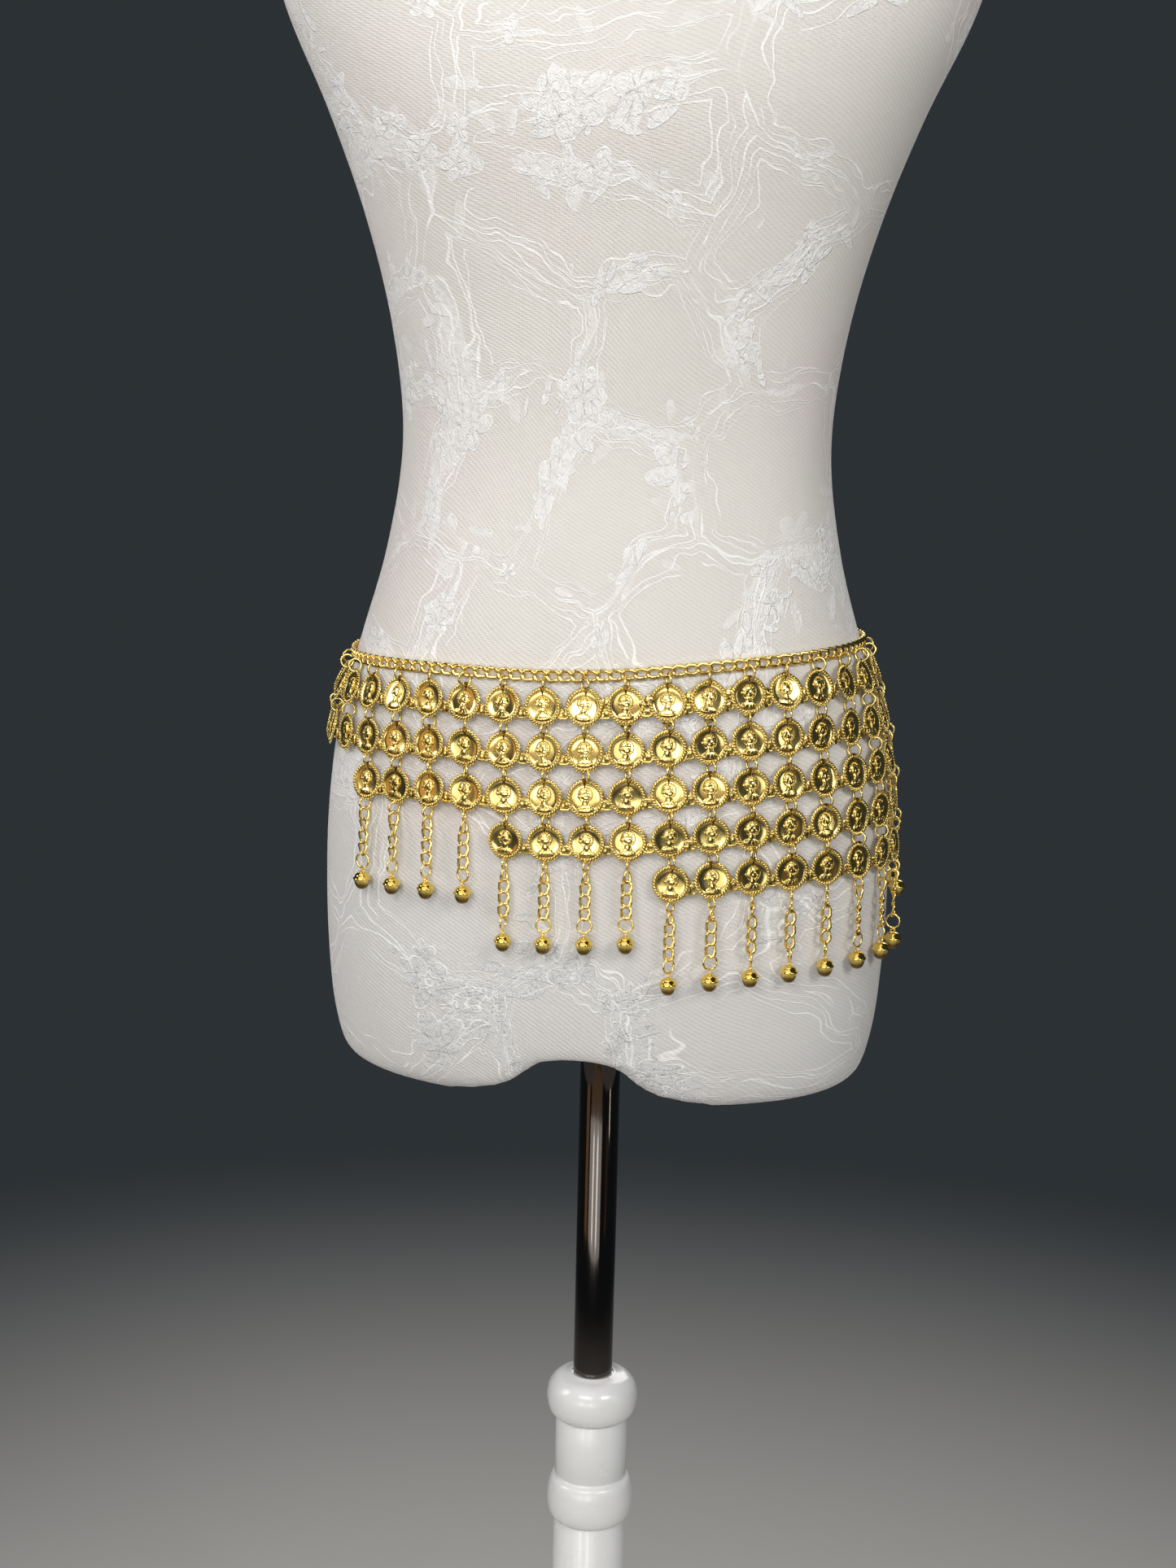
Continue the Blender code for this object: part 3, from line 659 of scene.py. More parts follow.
def bead(height, radius):
    """A round bead with a small groove over and under it."""
    edge = BEAD_HALF_HEIGHT
    over = [(POST_RADIUS - depth, height + edge + away) for depth, away in BEAD_GROOVE]
    under = [(POST_RADIUS - depth, height - edge - away) for depth, away in reversed(BEAD_GROOVE)]
    swell = radius - POST_RADIUS
    round_part = []
    for step in range(13):
        angle = math.radians(90 - 15 * step)
        out = POST_RADIUS + swell * math.cos(angle) ** 0.9 if abs(step - 6) < 6 else POST_RADIUS
        round_part.append((out, height + edge * math.sin(angle)))
    return over + round_part + under


paint = Finish("gloss_white", {"Coat Weight": 0.5, "Coat Roughness": 0.12})
paint_place = paint.place()
peel = paint.noise(paint_place, 420, 2.0)
cloud = paint.noise(paint_place, 14, 3.0)
rubbed = paint.ease(paint.noise(paint_place, 55, 4.0, 0.7), 0.62, 0.72)
paint.surface(
    base_color=paint.blend(rubbed * 0.35, paint.blend(cloud, *PAINT_WHITES), PAINT_RUBBED),
    roughness=0.24 + rubbed * 0.2 + cloud * 0.06,
    normal=paint.bump(peel * 0.035 * MM + cloud * 0.25 * MM),
)
base = turned(
    "base_painted",
    [(0, BASE_THICKNESS), (120 * MM, BASE_THICKNESS)]
    + quarter(BASE_RADIUS - 6 * MM, BASE_THICKNESS - 6 * MM, 6 * MM, 90)
    + quarter(BASE_RADIUS - 2 * MM, 2 * MM, 2 * MM, 0)
    + [(0, 0)],
    paint,
)
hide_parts("stand_base")

(cap_height, cap_radius), (collar_height, collar_radius) = POST_BEADS
post_foot = BASE_THICKNESS + SEAT_GAP
post = turned(
    "post_painted",
    [(radius, POST_TOP - depth) for radius, depth in CAP_PROFILE]
    + [point for point in bead(cap_height, cap_radius)[4:] if point[1] < POST_TOP - CAP_DEPTH]
    + bead(collar_height, collar_radius)
    + [(POST_RADIUS, POST_MIDDLE)]
    + [(radius, post_foot + rise) for radius, rise in FOOT_PROFILE],
    paint,
)
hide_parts("stand_post")

chrome = Finish("black_chrome", {"Metallic": 1.0, "Coat Weight": 0.35, "Coat Roughness": 0.03})
chrome_place = chrome.place()
streaks = chrome.node("ShaderNodeMapping", None, {"Vector": chrome_place, "Scale": (1, 1, 0.02)})
streaks = chrome.noise(streaks, 900, 3.0)
scuffs = chrome.noise(chrome_place, 160, 5.0, 0.7)
scuffs = chrome.ease(scuffs, 0.66, 0.72) * chrome.ease(chrome.noise(chrome_place, 22, 1.0), 0.5, 0.62)
chrome.surface(
    base_color=chrome.blend(scuffs * 0.4, CHROME_DARK, CHROME_SCUFF),
    roughness=0.07 + streaks * 0.05 + scuffs * 0.25,
    normal=chrome.bump(streaks * 0.01 * MM),
)
pole = turned(
    "pole_chromed",
    [(0, POLE_TOP), (POLE_RADIUS - POLE_CHAMFER, POLE_TOP), (POLE_RADIUS, POLE_TOP - POLE_CHAMFER)]
    + [(POLE_RADIUS, POST_TOP + 0.4 * MM), (0, POST_TOP + 0.4 * MM)],
    chrome,
)
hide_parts("pole")

# The waist chain. Flat curb chain of gold-plated brass, each link twisted and cut flat on its
# faces. It lies on the hips, and the clasp closes it at the back where the net stays open.

CHAIN_HEIGHT = 977.8 * MM
SIDEWAYS_SLOPE = 0.053
FRONT_DIP = 4 * MM
DIP_REACH = 70 * MM
COLUMN_PITCH = 23.0 * MM
FIRST_COLUMN_ARC = -228.0 * MM
PITCH_KEPT_TO = 140 * MM
PITCH_LOST_AT = 400 * MM
COIN_STANDOFF = 4.4 * MM
PANELS = (
    # letter, columns, rows
    ("a", 4, 2),
    ("b", 4, 3),
    ("c", 4, 4),
    ("d", 4, 5),
    ("e", 4, 5),
    ("f", 4, 4),
    ("g", 4, 3),
    ("h", 4, 2),
)
COLUMNS = sum(panel[1] for panel in PANELS)
CHAIN_MIDDLE = 2.2 * MM
CHAIN_LINK_PITCH = 7.1 * MM
CHAIN_LINK = (9.9 * MM, 7.6 * MM, 2.3 * MM)  # length, width, wire
LINK_TWIST = math.radians(60)
LINK_LEAN = math.radians(14)
CLASP_LENGTH = 16 * MM
GOLD_PALE, GOLD_DEEP = (1.0, 0.765, 0.285), (0.95, 0.68, 0.19)


def hanging_measures(height):
    """What a net hung from the chain touches: the widest section between there and the chain."""
    rise = max(0.0, CHAIN_HEIGHT - height)
    found = [between_rows(height + rise * step / 12) for step in range(13 if rise else 1)]
    return [max(values) for values in zip(*found)]


@lru_cache(maxsize=None)
def outline_lengths(level):
    """Angles round the form, from the front centre towards +X, with the lengths round to them."""
    measures = hanging_measures(level)
    angles = [math.radians(-90 + step) for step in range(361)]
    points = [form_point(measures, angle, COIN_STANDOFF) for angle in angles]
    lengths = [0.0]
    for start, end in zip(points, points[1:]):
        lengths.append(lengths[-1] + math.dist(start, end))
    return angles, lengths


def angle_on(level, arc):
    angles, lengths = outline_lengths(level)
    arc %= lengths[-1]
    index = min(bisect_right(lengths, arc), len(angles) - 1) - 1
    share = (arc - lengths[index]) / (lengths[index + 1] - lengths[index])
    return angles[index] + share * (angles[index + 1] - angles[index])


def hung_point(arc, drop, out):
    """A point of the net and its outward direction, by its arc round the chain and its drop."""
    level = CHAIN_HEIGHT - drop
    straight, pitched = angle_on(CHAIN_HEIGHT, arc), angle_on(round(level, 4), arc)
    share = min(1.0, max(0.0, (abs(arc) - PITCH_KEPT_TO) / (PITCH_LOST_AT - PITCH_KEPT_TO)))
    angle = pitched + share * (straight - pitched)
    x, _ = form_point(hanging_measures(level), angle, out)
    level += SIDEWAYS_SLOPE * x + FRONT_DIP * (1 - math.exp(-((arc / DIP_REACH) ** 2)))
    measures = hanging_measures(level)
    before, after = (form_point(measures, angle + turn, out) for turn in (-0.01, 0.01))
    outward = Vector((after[1] - before[1], before[0] - after[0], 0)).normalized()
    return Vector((*form_point(measures, angle, out), level)), outward


def hung_frame(arc, drop, out, reach):
    """A place on the net: X along it, Y towards the form, Z up."""
    centre, outward = hung_point(arc, drop, out)
    above, _ = hung_point(arc, drop - reach, out)
    up = (above - centre).normalized()
    along = up.cross(outward).normalized()
    axes = Matrix((along, up.cross(along), up)).transposed().to_4x4()
    return Matrix.Translation(centre) @ axes


def wire_loop(length, width, wire, around=14, through=6, twist=0.0, flat=1.0):
    """A loop of wire in the XZ plane, long along X. Twist turns its ends, flat cuts its faces."""
    bm = bmesh.new()
    radius = (width - wire) / 2
    bmesh.ops.create_circle(
        bm, segments=through, radius=wire / 2, matrix=Matrix.Translation((radius, 0, 0))
    )
    spin_round(bm, (0, 1, 0), around)
    for vertex in bm.verts:
        x, y, z = vertex.co
        x += math.copysign((length - width) / 2, x)
        y = max(-flat * wire / 2, min(flat * wire / 2, y))
        vertex.co = Matrix.Rotation(twist * x / length, 3, "X") @ Vector((x, y, z))
    return template_from(bm)


def template_from(bm):
    """A mesh that is copied into pieces, smooth-shaded."""
    for face in bm.faces:
        face.smooth = True
    mesh = bpy.data.meshes.new("template")
    bm.to_mesh(mesh)
    bm.free()
    return mesh


def add_copy(bm, template, matrix):
    first = len(bm.verts)
    bm.from_mesh(template)
    bm.verts.ensure_lookup_table()
    bmesh.ops.transform(bm, matrix=matrix, verts=bm.verts[first:])


gold = Finish("gold_plate", {"Metallic": 1.0})
gold_place = gold.place()
gold_dents = gold.noise(gold_place, 260, 2.0)
gold_wear = gold.noise(gold_place, 90, 3.0, 0.6)
gold.surface(
    base_color=gold.blend(gold_wear, GOLD_PALE, GOLD_DEEP),
    roughness=0.13 + gold_wear * 0.14,
    normal=gold.bump(gold_dents * 0.05 * MM),
)
curb_link = wire_loop(*CHAIN_LINK, twist=LINK_TWIST, flat=0.62)
total = outline_lengths(CHAIN_HEIGHT)[1][-1]
last_arc = FIRST_COLUMN_ARC + (COLUMNS - 1) * COLUMN_PITCH
clasp_arc = (last_arc + FIRST_COLUMN_ARC + total) / 2
chain_start, chain_end = clasp_arc - total + CLASP_LENGTH / 2, clasp_arc - CLASP_LENGTH / 2
chain_middle = (chain_start + chain_end) / 2
CHAIN_RUNS = (
    # piece, node, start, end
    ("chain_links_right", "waist_chain_right", chain_start, chain_middle),
    ("chain_links_left", "waist_chain_left", chain_middle, chain_end),
)
for name, node, start, end in CHAIN_RUNS:
    bm = bmesh.new()
    links = round((end - start) / CHAIN_LINK_PITCH)
    for link in range(links):
        arc = start + (link + 0.5) * (end - start) / links
        here = hung_frame(arc, 0.0, CHAIN_MIDDLE, 3 * MM)
        add_copy(bm, curb_link, here @ Matrix.Rotation(LINK_LEAN, 4, "X"))
    links_piece = piece_from(name, bm, gold)
    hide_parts(node)

# The clasp. A small cast trigger clasp with its thumb lever, on a jump ring at each end.

CLASP_MIDDLE = 3.2 * MM
CLASP_BODY = (11.5 * MM, 7.6 * MM, 2.0 * MM)
CLASP_RINGS = (
    # diameter, wire, offset along the chain
    (4.4 * MM, 1.2 * MM, -6.6 * MM),
    (5.2 * MM, 1.3 * MM, 6.4 * MM),
)
CLASP_RING_TURN = math.radians(70)
CLASP_LEVER = (4.2 * MM, 2.2 * MM, 1.4 * MM)
CLASP_LEVER_PLACE = (-1.5 * MM, 0, 3.4 * MM)


def rounded_block(size, rounding, segments):
    """A small block with rounded edges, to be copied into a piece."""
    bm = bmesh.new()
    bmesh.ops.create_cube(bm, size=1, matrix=Matrix.Diagonal((*size, 1)))
    bmesh.ops.bevel(
        bm,
        geom=bm.edges[:],
        offset=rounding,
        segments=segments,
        profile=0.5,
        affect="EDGES",
        material=-1,
    )
    return template_from(bm)


clasp_bm = bmesh.new()
clasp_place = hung_frame(chain_end + CLASP_LENGTH / 2, 0.0, CLASP_MIDDLE, 3 * MM)
add_copy(clasp_bm, wire_loop(*CLASP_BODY, 24, 10, flat=0.85), clasp_place)
for ring, wire, offset in CLASP_RINGS:
    here = clasp_place @ Matrix.Translation((offset, 0, 0)) @ Matrix.Rotation(CLASP_RING_TURN, 4, "X")
    add_copy(clasp_bm, wire_loop(ring, ring, wire, 16, 8), here)
lever = rounded_block(CLASP_LEVER, 0.5 * MM, 2)
add_copy(clasp_bm, lever, clasp_place @ Matrix.Translation(CLASP_LEVER_PLACE))
clasp = piece_from("clasp_cast", clasp_bm, gold)
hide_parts("chain_clasp")

# The coins. Thin brass stampings, gold-plated: a dished, polished field with a crowned bust,
# inside a rope border drawn up to the hanging hole. Jump rings join each to the next ones.

ROW_PITCH = 25.2 * MM
ROW_DRIFT = 1.2 * MM
FIRST_ROW_DROP = 16.5 * MM
COIN_PROFILE = (
    # radius, depth towards the form
    (0.0, 0.12 * MM),
    (3.0 * MM, 0.09 * MM),
    (5.4 * MM, 0.01 * MM),
    (7.4 * MM, -0.13 * MM),
    (7.9 * MM, -0.30 * MM),
    (8.1 * MM, -0.48 * MM),
    (10.1 * MM, -0.42 * MM),
    (10.45 * MM, -0.10 * MM),
    (10.3 * MM, 0.25 * MM),
    (8.8 * MM, 0.45 * MM),
    (4.5 * MM, 0.65 * MM),
    (0.0, 0.70 * MM),
)
COIN_SEGMENTS = 30
COIN_PLANE_MM = 24
ROPE_RADIUS = 9.2 * MM
ROPE_STRANDS = 34
ROPE_LAY = math.radians(38)
ROPE_STRAND = (0.60 * MM, 0.78 * MM, 1.35 * MM)
EDGE_RADIUS = 10.4 * MM
EDGE_STRANDS = 11
EDGE_STRAND_TURN = 0.115
EDGE_LAY = math.radians(-35)
EDGE_STRAND = (0.46 * MM, 0.5 * MM, 0.80 * MM)
PEAK_RISE, PEAK_SPREAD, PEAK_SIDEWAYS = 0.05, 0.36, 0.3
PEAK_FROM = 9.3 * MM
BUST_WIDER, BUST_TALLER = 1.25, 1.12
BUST_FORMS = (
    # name, middle and half sizes in mm across, in depth and in height, turn, (segments, rings)
    ("shoulders", (0.0, -0.1, -5.4), (4.0, 0.55, 2.3), 0.0, (12, 8)),
    ("fold", (-1.5, -0.45, -4.9), (0.32, 0.32, 1.3), 0.5, (6, 4)),
    ("fold", (0.2, -0.45, -5.5), (0.32, 0.32, 1.3), 0.2, (6, 4)),
    ("fold", (1.6, -0.45, -5.0), (0.32, 0.32, 1.3), -0.4, (6, 4)),
    ("neck", (-0.1, -0.15, -2.3), (1.25, 0.55, 2.4), 0.0, (8, 6)),
    ("hair", (-0.45, 0.0, 1.9), (2.45, 0.75, 2.5), 0.0, (12, 8)),
    ("face", (0.45, -0.1, 0.75), (1.65, 0.80, 2.15), 0.0, (12, 8)),
    ("bun", (-2.7, -0.1, 1.0), (1.05, 0.65, 0.95), 0.0, (8, 6)),
    ("nose", (2.05, -0.55, 0.62), (0.34, 0.40, 0.75), -0.45, (6, 4)),
    ("upper_lip", (1.72, -0.55, -0.30), (0.36, 0.35, 0.22), 0.0, (6, 4)),
    ("lower_lip", (1.62, -0.55, -0.66), (0.32, 0.35, 0.20), 0.0, (6, 4)),
    ("chin", (1.15, -0.55, -1.20), (0.52, 0.45, 0.42), 0.0, (6, 4)),
    ("brow", (1.35, -0.55, 1.42), (0.42, 0.32, 0.16), 0.0, (6, 4)),
    ("ear", (-0.55, -0.55, 0.75), (0.30, 0.30, 0.55), 0.1, (6, 4)),
    ("lock", (-1.5, -0.55, 2.0), (0.30, 0.35, 1.2), 0.9, (6, 4)),
    ("lock", (-1.1, -0.55, 2.9), (0.30, 0.35, 1.2), 1.2, (6, 4)),
    ("lock", (0.1, -0.55, 3.1), (0.30, 0.35, 1.2), 1.7, (6, 4)),
    ("lock", (-1.9, -0.55, 1.1), (0.30, 0.35, 1.2), 0.4, (6, 4)),
)
CROWN_TURNS = (-48, -24, 0, 24, 48)
CROWN_BEAD = 0.48 * MM
COIN_TILT = math.radians(6.5)
TOP_ROW_LEAN = math.radians(4)
JUMP_RING = (9.0 * MM, 9.0 * MM, 1.5 * MM)
JUMP_RING_HEIGHT = 12.6 * MM
JUMP_RING_SWING = 38
SIDE_RING = (8.4 * MM, 6.6 * MM, 1.7 * MM)
SIDE_RING_HEIGHT = -4.2 * MM
SIDE_RING_SWING = 25
LUG = (3.4 * MM, 0.8 * MM, 6.0 * MM)
LUG_BEADS_AT = (-0.60, -0.12)
LUG_BEAD_REACH = 10.7 * MM
LUG_BEAD = 0.75 * MM
WING = (3.3 * MM, 3.1 * MM, 0.8 * MM)
WINGED_COLUMNS = (11, 12, 13, 14)
STAMPED_PALE, STAMPED_DEEP = (1.0, 0.805, 0.32), (0.97, 0.735, 0.22)
STAMPED_PAINTED_SHADE = (0.15, 0.065, 0.010)


def drawn_up(x, z):
    """Where a round coin's point goes once its edge is drawn up to a peak."""
    angle = math.atan2(x, z)
    rim = min(1.0, math.hypot(x, z) / PEAK_FROM) ** 3
    grow = 1 + rim * (PEAK_RISE * math.exp(-((angle / PEAK_SPREAD) ** 2)))
    return x * (1 + (grow - 1) * PEAK_SIDEWAYS), z * grow


def rope_strand(bm, radius, depth, angle, lay, size):
    """One strand of a rope: a small egg that lies aslant on a circle round the coin."""
    spot = Vector((radius * math.sin(angle), depth, radius * math.cos(angle)))
    shape = Matrix.Rotation(angle + lay, 4, "Y") @ Matrix.Diagonal((*size, 1))
    bmesh.ops.create_icosphere(bm, subdivisions=1, radius=1, matrix=Matrix.Translation(spot) @ shape)


def ball(bm, middle, half_sizes, turn, segments, rings):
    """A smooth ellipsoid, with its middle and half sizes in mm, turned in the coin's plane."""
    shape = Matrix.Translation([part * MM for part in middle]) @ Matrix.Rotation(turn, 4, "Y")
    shape = shape @ Matrix.Diagonal((*(part * MM for part in half_sizes), 1))
    made = bmesh.ops.create_uvsphere(
        bm, u_segments=segments, v_segments=rings, radius=1, matrix=shape
    )
    return made["verts"]


def stamped_coin():
    """The dished blank, its rope border, the rope on its lower edge, and the bust."""
    bm = revolved([(radius, depth, 0) for radius, depth in COIN_PROFILE], (0, 1, 0), COIN_SEGMENTS)
    for strand in range(ROPE_STRANDS):
        angle = 2 * math.pi * strand / ROPE_STRANDS
        rope_strand(bm, ROPE_RADIUS, -0.42 * MM, angle, ROPE_LAY, ROPE_STRAND)
    for strand in range(EDGE_STRANDS):
        angle = math.pi + EDGE_STRAND_TURN * (strand - EDGE_STRANDS // 2)
        rope_strand(bm, EDGE_RADIUS, -0.10 * MM, angle, EDGE_LAY, EDGE_STRAND)
    for vertex in bm.verts:
        vertex.co.x, vertex.co.z = drawn_up(vertex.co.x, vertex.co.z)
    plain = len(bm.verts)
    for name, middle, half_sizes, turn, fineness in BUST_FORMS:
        made = ball(bm, middle, half_sizes, turn, *fineness)
        if name == "shoulders":
            for vertex in made:
                lowest = -6.9 * MM + vertex.co.x**2 * 0.055 / MM
                vertex.co.z = max(vertex.co.z, lowest)
    for turn in CROWN_TURNS:
        angle = math.radians(turn)
        spot = ((-0.3 + 2.7 * math.sin(angle)) * MM, -0.2 * MM, (1.9 + 2.75 * math.cos(angle)) * MM)
        bmesh.ops.create_icosphere(
            bm, subdivisions=1, radius=CROWN_BEAD, matrix=Matrix.Translation(spot)
        )
    bm.verts.ensure_lookup_table()
    for vertex in bm.verts[plain:]:
        x, y, z = vertex.co
        vertex.co = (x * BUST_WIDER, y, (z + 1 * MM) * BUST_TALLER - 1 * MM)
    spots = bm.loops.layers.uv.new("coin_plane")
    width = COIN_PLANE_MM * MM
    for face in bm.faces:
        for loop in face.loops:
            loop[spots].uv = (loop.vert.co.x / width + 0.5, loop.vert.co.z / width + 0.5)
    return template_from(bm)


stamped = Finish("stamped_gold", {"Metallic": 1.0})
plane = stamped.node("ShaderNodeUVMap", {"uv_map": "coin_plane"})
across = stamped.node("ShaderNodeSeparateXYZ", None, {0: plane})
coin_x = across * COIN_PLANE_MM - COIN_PLANE_MM / 2
coin_z = across.also(1) * COIN_PLANE_MM - COIN_PLANE_MM / 2
span = coin_x * coin_x + coin_z * coin_z
span = span.maths("SQRT", span)
bust_x, bust_z = abs(coin_x) / BUST_WIDER, (coin_z + 1) / BUST_TALLER - 1
head = bust_x * bust_x / 8.7 + (bust_z - 1.7) * (bust_z - 1.7) / 12.0
head = head.maths("SQRT", head)
outline = stamped.ease(abs(head - 1.06), 0.10, 0.03) * stamped.ease(bust_z, -1.7, -1.1)
spread = (bust_z + 1.7) * (bust_z + 1.7) * 0.15 + 1.25
draped = stamped.ease(abs(bust_x - spread), 0.34, 0.08) * stamped.ease(bust_z, -1.2, -1.9)
draped = draped * stamped.ease(bust_z, -6.4, -5.8)
slit = stamped.ease(abs(coin_x) - (coin_z - 5.4) * 0.20, 0.20, -0.06) * stamped.ease(coin_z, 5.2, 5.9)
smile = bust_z + 7.0 - bust_x * bust_x * 0.055
crescent = stamped.ease(abs(smile), 0.42, 0.14) * stamped.ease(bust_x, 3.9, 3.2)
border = stamped.ease(abs(span - 8.05), 0.34, 0.06)
lay = coin_x.maths("ARCTAN2", coin_x, coin_z) * ROPE_STRANDS
lay = lay - (span - ROPE_RADIUS / MM) * (ROPE_STRANDS * math.tan(ROPE_LAY) * MM / ROPE_RADIUS)
groove = stamped.ease(lay.maths("COSINE", lay), -0.15, -0.9) * stamped.ease(span, 8.0, 8.3)
# Painted shade: the slit, the crescent under the bust, the bust's outline and drape, the field's border and
# the gaps between rope strands are recessed, rougher and painted dark.
grooves_and_painted_shade = slit.maths("MAXIMUM", slit, crescent)
for line, share in ((outline, 0.75), (draped, 0.65), (border, 0.55), (groove, 0.75)):
    grooves_and_painted_shade = grooves_and_painted_shade.maths("MAXIMUM", grooves_and_painted_shade, line * share)
stamped_place = stamped.place()
wear = stamped.noise(stamped_place, 90, 3.0, 0.6)
fine = stamped.noise(stamped_place, 700, 2.0)
buckle = stamped.noise(stamped_place, 120, 1.0)
tone = stamped.blend(wear, STAMPED_PALE, STAMPED_DEEP)
stamped.surface(
    base_color=stamped.blend(grooves_and_painted_shade, tone, STAMPED_PAINTED_SHADE),
    roughness=0.12 + wear * 0.10 + grooves_and_painted_shade * 0.25,
    normal=stamped.bump(fine * 0.008 * MM + buckle * 0.10 * MM - grooves_and_painted_shade * 0.18 * MM),
)
coin = stamped_coin()
jump_ring = wire_loop(*JUMP_RING, 14, 6)
side_ring = wire_loop(*SIDE_RING, 14, 6)
lug = rounded_block(LUG, 0.3 * MM, 1)
wing_bm = bmesh.new()
bmesh.ops.create_cone(
    wing_bm,
    cap_ends=True,
    segments=14,
    radius1=WING[0],
    radius2=WING[1],
    depth=WING[2],
    matrix=Matrix.Rotation(math.radians(90), 4, "X"),
)
wing = template_from(wing_bm)


def coin_arc(column, row):
    return FIRST_COLUMN_ARC + column * COLUMN_PITCH + row * ROW_DRIFT


def coin_frame(column, row):
    drop = FIRST_ROW_DROP + row * ROW_PITCH
    return hung_frame(coin_arc(column, row), drop, COIN_STANDOFF, 9.9 * MM)


chance = random.Random(7)
first = 0
for index, (letter, columns, rows) in enumerate(PANELS):
    next_rows = PANELS[index + 1][2] if index + 1 < len(PANELS) else 0
    bm = bmesh.new()
    for column in range(first, first + columns):
        for row in range(rows):
            here = coin_frame(column, row)
            tilt = Matrix.Rotation(chance.uniform(-1, 1) * COIN_TILT, 4, "Z")
            nod = chance.uniform(-1, 1) * COIN_TILT - (0 if row else TOP_ROW_LEAN)
            nod = Matrix.Rotation(nod, 4, "X")
            roll = Matrix.Rotation(chance.uniform(-1, 1) * COIN_TILT * 0.8, 4, "Y")
            add_copy(bm, coin, here @ tilt @ nod @ roll)
            above = Matrix.Translation((0, 0, JUMP_RING_HEIGHT))
            yaw = math.radians(90 + chance.uniform(-JUMP_RING_SWING, JUMP_RING_SWING))
            yaw = Matrix.Rotation(yaw, 4, "Z")
            add_copy(bm, jump_ring, here @ above @ yaw)
            if row == 0 and column in WINGED_COLUMNS:
                add_copy(bm, wing, here @ Matrix.Translation((0.5 * MM, 0.5 * MM, -10.0 * MM)))
            last = column == first + columns - 1
            joined = row < (next_rows if last else rows)
            met = column > first or (index and row < PANELS[index - 1][2])
            for side, there in ((1, joined), (-1, met)):
                if there:
                    for turn in LUG_BEADS_AT:
                        out, up = LUG_BEAD_REACH * math.cos(turn), LUG_BEAD_REACH * math.sin(turn)
                        spot = here @ Matrix.Translation((side * out, 0.3 * MM, up))
                        bmesh.ops.create_icosphere(bm, subdivisions=1, radius=LUG_BEAD, matrix=spot)
                    add_copy(bm, lug, here @ Matrix.Translation((side * 9.9 * MM, 0.9 * MM, -3.6 * MM)))
                    if row == 0 and column in WINGED_COLUMNS:
                        add_copy(bm, wing, here @ Matrix.Translation((side * 10.2 * MM, 0.4 * MM, 1.4 * MM)))
            if joined:
                beside = coin_frame(column + 1, row)
                middle = (here.translation + beside.translation) / 2
                between = Matrix.Translation(middle) @ here.to_3x3().to_4x4()
                lean = math.radians(chance.uniform(-SIDE_RING_SWING, SIDE_RING_SWING))
                spot = between @ Matrix.Translation((0, 0.5 * MM, SIDE_RING_HEIGHT))
                add_copy(bm, side_ring, spot @ Matrix.Rotation(lean, 4, "X"))
    net = piece_from("coins_" + letter, bm, stamped)
    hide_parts("coin_panel_" + letter)
    first += columns

# The pendants. Under each longer column hangs a jump ring, three or four twisted curb links, a
# second ring and a little brass bell in two halves, its lower half slit into four petals.

TOP_RING = (8.0 * MM, 8.0 * MM, 1.35 * MM)
TOP_RING_DROP = 13.0 * MM
PENDANT_LINK = (9.3 * MM, 7.0 * MM, 1.9 * MM)
FIRST_LINK_DROP = 19.0 * MM
SECOND_LINK_DROP = 25.6 * MM
LINK_DROP = 7.0 * MM
LOW_RING = (9.4 * MM, 9.4 * MM, 1.25 * MM)
LOW_RING_DROP = 46.4 * MM
BELL_LOOP = (3.4 * MM, 3.4 * MM, 0.9 * MM)
BELL_LOOP_RISE = 5.2 * MM
BELL_DROP = 57.4 * MM
BELL_SPAN = 12 * MM
BELL_STANDOFF = 5.7 * MM
BELL_SEGMENTS = 24
BELL_PETALS = 4
PETAL_PINCH = 0.26
BRASS_PALE, BRASS_TARNISHED = (1.0, 0.78, 0.23), (0.82, 0.56, 0.11)
BRASS_PAINTED_SHADE = (0.12, 0.065, 0.009)
BELL_PROFILE = (
    # radius, height
    (0.0, 4.6 * MM),
    (1.2 * MM, 4.5 * MM),
    (2.9 * MM, 3.9 * MM),
    (4.1 * MM, 2.8 * MM),
    (4.6 * MM, 1.3 * MM),
    (5.2 * MM, 1.1 * MM),
    (5.2 * MM, 0.3 * MM),
    (4.7 * MM, 0.1 * MM),
    (4.4 * MM, -1.6 * MM),
    (3.7 * MM, -3.4 * MM),
    (2.8 * MM, -4.7 * MM),
    (1.6 * MM, -5.4 * MM),
    (0.0, -5.6 * MM),
)


def point_below(above, outward, level, out):
    """Where a strand hung from a point lies at a lower level, pushed straight out by the form."""
    along = Vector((-outward.y, outward.x, 0))
    measures = hanging_measures(level)
    angle = math.atan2(outward.y, outward.x)
    for _ in range(6):
        here, beyond = (
            Vector((*form_point(measures, turn, out), level)) for turn in (angle, angle + 0.001)
        )
        angle -= 0.001 * (here - above).dot(along) / (beyond - here).dot(along)
    return Vector((*form_point(measures, angle, out), level))


def small_bell():
    """A round bell with its lower half pinched in at the slits between the petals."""
    profile = [(radius, 0, height) for radius, height in BELL_PROFILE]
    bm = revolved(profile, (0, 0, 1), BELL_SEGMENTS)
    for vertex in bm.verts:
        if vertex.co.z < -0.1 * MM:
            angle = math.atan2(vertex.co.y, vertex.co.x)
            slit = max(0.0, math.cos(BELL_PETALS * angle)) ** 6
            pinch = 1 - PETAL_PINCH * slit
            vertex.co.x *= pinch
            vertex.co.y *= pinch
    depths = bm.loops.layers.uv.new("bell_plane")
    for face in bm.faces:
        for loop in face.loops:
            loop[depths].uv = (0.5, 0.5 - loop.vert.co.z / BELL_SPAN)
    return template_from(bm)


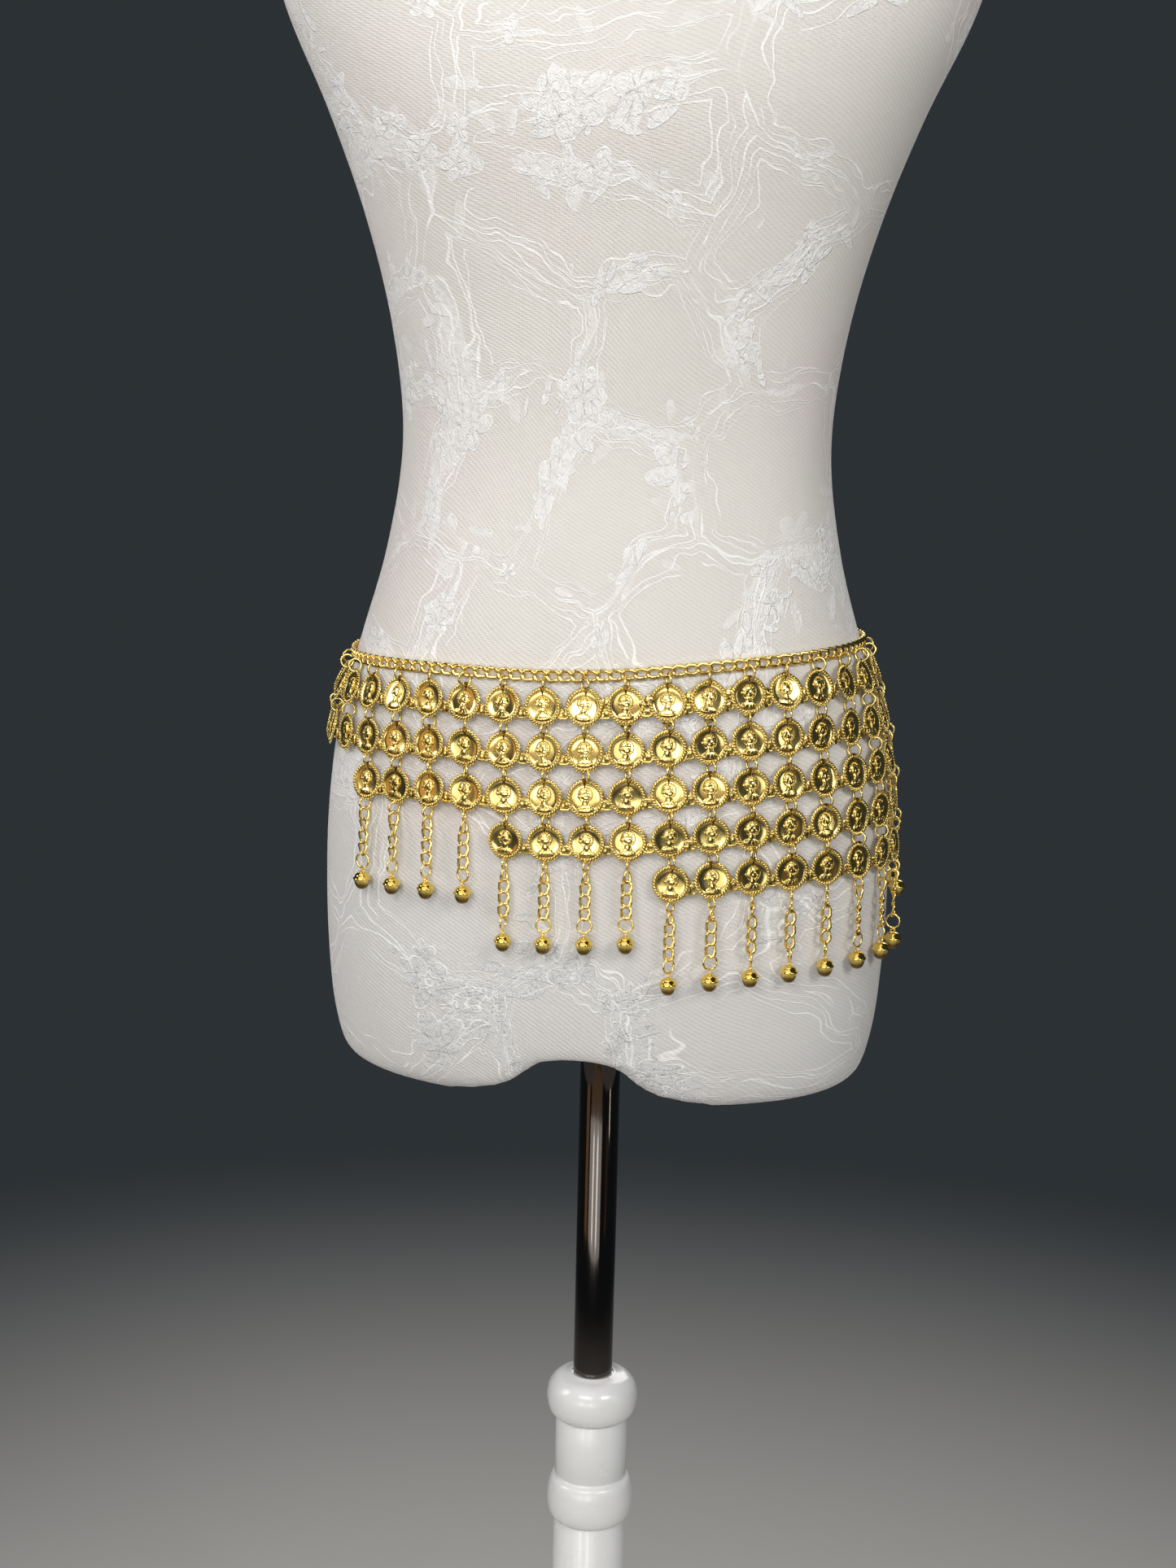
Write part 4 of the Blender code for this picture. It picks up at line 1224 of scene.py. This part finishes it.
bell = small_bell()
brass = Finish("bell_brass", {"Metallic": 1.0})
brass_place = brass.place()
tarnish = brass.noise(brass_place, 120, 3.0, 0.6)
bell_plane = brass.node("ShaderNodeUVMap", {"uv_map": "bell_plane"})
# Painted shade: each bell is painted dark from its middle down to its lower end.
painted_shade_below = brass.ease(brass.node("ShaderNodeSeparateXYZ", None, {0: bell_plane}).also(1), 0.50, 0.78)
bright_brass = brass.blend(tarnish, BRASS_PALE, BRASS_TARNISHED)
brass.surface(
    base_color=brass.blend(painted_shade_below * 0.94, bright_brass, BRASS_PAINTED_SHADE),
    roughness=0.05 + tarnish * 0.09,
    normal=brass.bump(brass.noise(brass_place, 300, 1.0) * 0.06 * MM),
)
bell_loop = wire_loop(*BELL_LOOP, 12, 6)
top_ring = wire_loop(*TOP_RING, 16, 6)
low_ring = wire_loop(*LOW_RING, 18, 6)
pendant_link = wire_loop(*PENDANT_LINK, 14, 6, twist=LINK_TWIST, flat=0.7)
first = 0
for letter, columns, rows in PANELS:
    if rows >= 3:
        bm, bells_bm = bmesh.new(), bmesh.new()
        for column in range(first, first + columns):
            row_drop = FIRST_ROW_DROP + (rows - 1) * ROW_PITCH
            coin_centre, outward = hung_point(coin_arc(column, rows - 1), row_drop, COIN_STANDOFF)
            along = Vector((-outward.y, outward.x, 0))

            def strand(drop, yaw, spin=90):
                """A place down the strand: X along the form, Y towards it, Z up, then turned."""
                out = COIN_STANDOFF + (BELL_STANDOFF - COIN_STANDOFF) * min(1.0, drop / BELL_DROP)
                centre = point_below(coin_centre, outward, coin_centre.z - drop, out)
                axes = Matrix((along, -outward, Vector((0, 0, 1)))).transposed().to_4x4()
                yawed = Matrix.Rotation(math.radians(yaw), 4, "Z")
                turned_by = yawed @ Matrix.Rotation(math.radians(spin), 4, "Y")
                return Matrix.Translation(centre) @ axes @ turned_by

            add_copy(bm, top_ring, strand(TOP_RING_DROP, 90 + chance.uniform(-45, 45)))
            turn = chance.uniform(-14, 22)
            add_copy(bm, pendant_link, strand(FIRST_LINK_DROP, turn + 62))
            for link in range(3):
                link_drop = SECOND_LINK_DROP + LINK_DROP * link
                add_copy(bm, pendant_link, strand(link_drop, turn + chance.uniform(-8, 8)))
            add_copy(bm, low_ring, strand(LOW_RING_DROP, chance.uniform(-25, 95)))
            add_copy(bells_bm, bell, strand(BELL_DROP, chance.uniform(0, 90), 0))
            add_copy(bells_bm, bell_loop, strand(BELL_DROP - BELL_LOOP_RISE, 90))
        nodes = [f"bell_pendant_{column + 1:02d}" for column in range(first, first + columns)]
        strands = piece_from("pendants_" + letter, bm, gold)
        bells = piece_from("bells_" + letter, bells_bm, brass)
        for pieces in (strands, bells):
            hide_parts(*nodes)
    first += columns
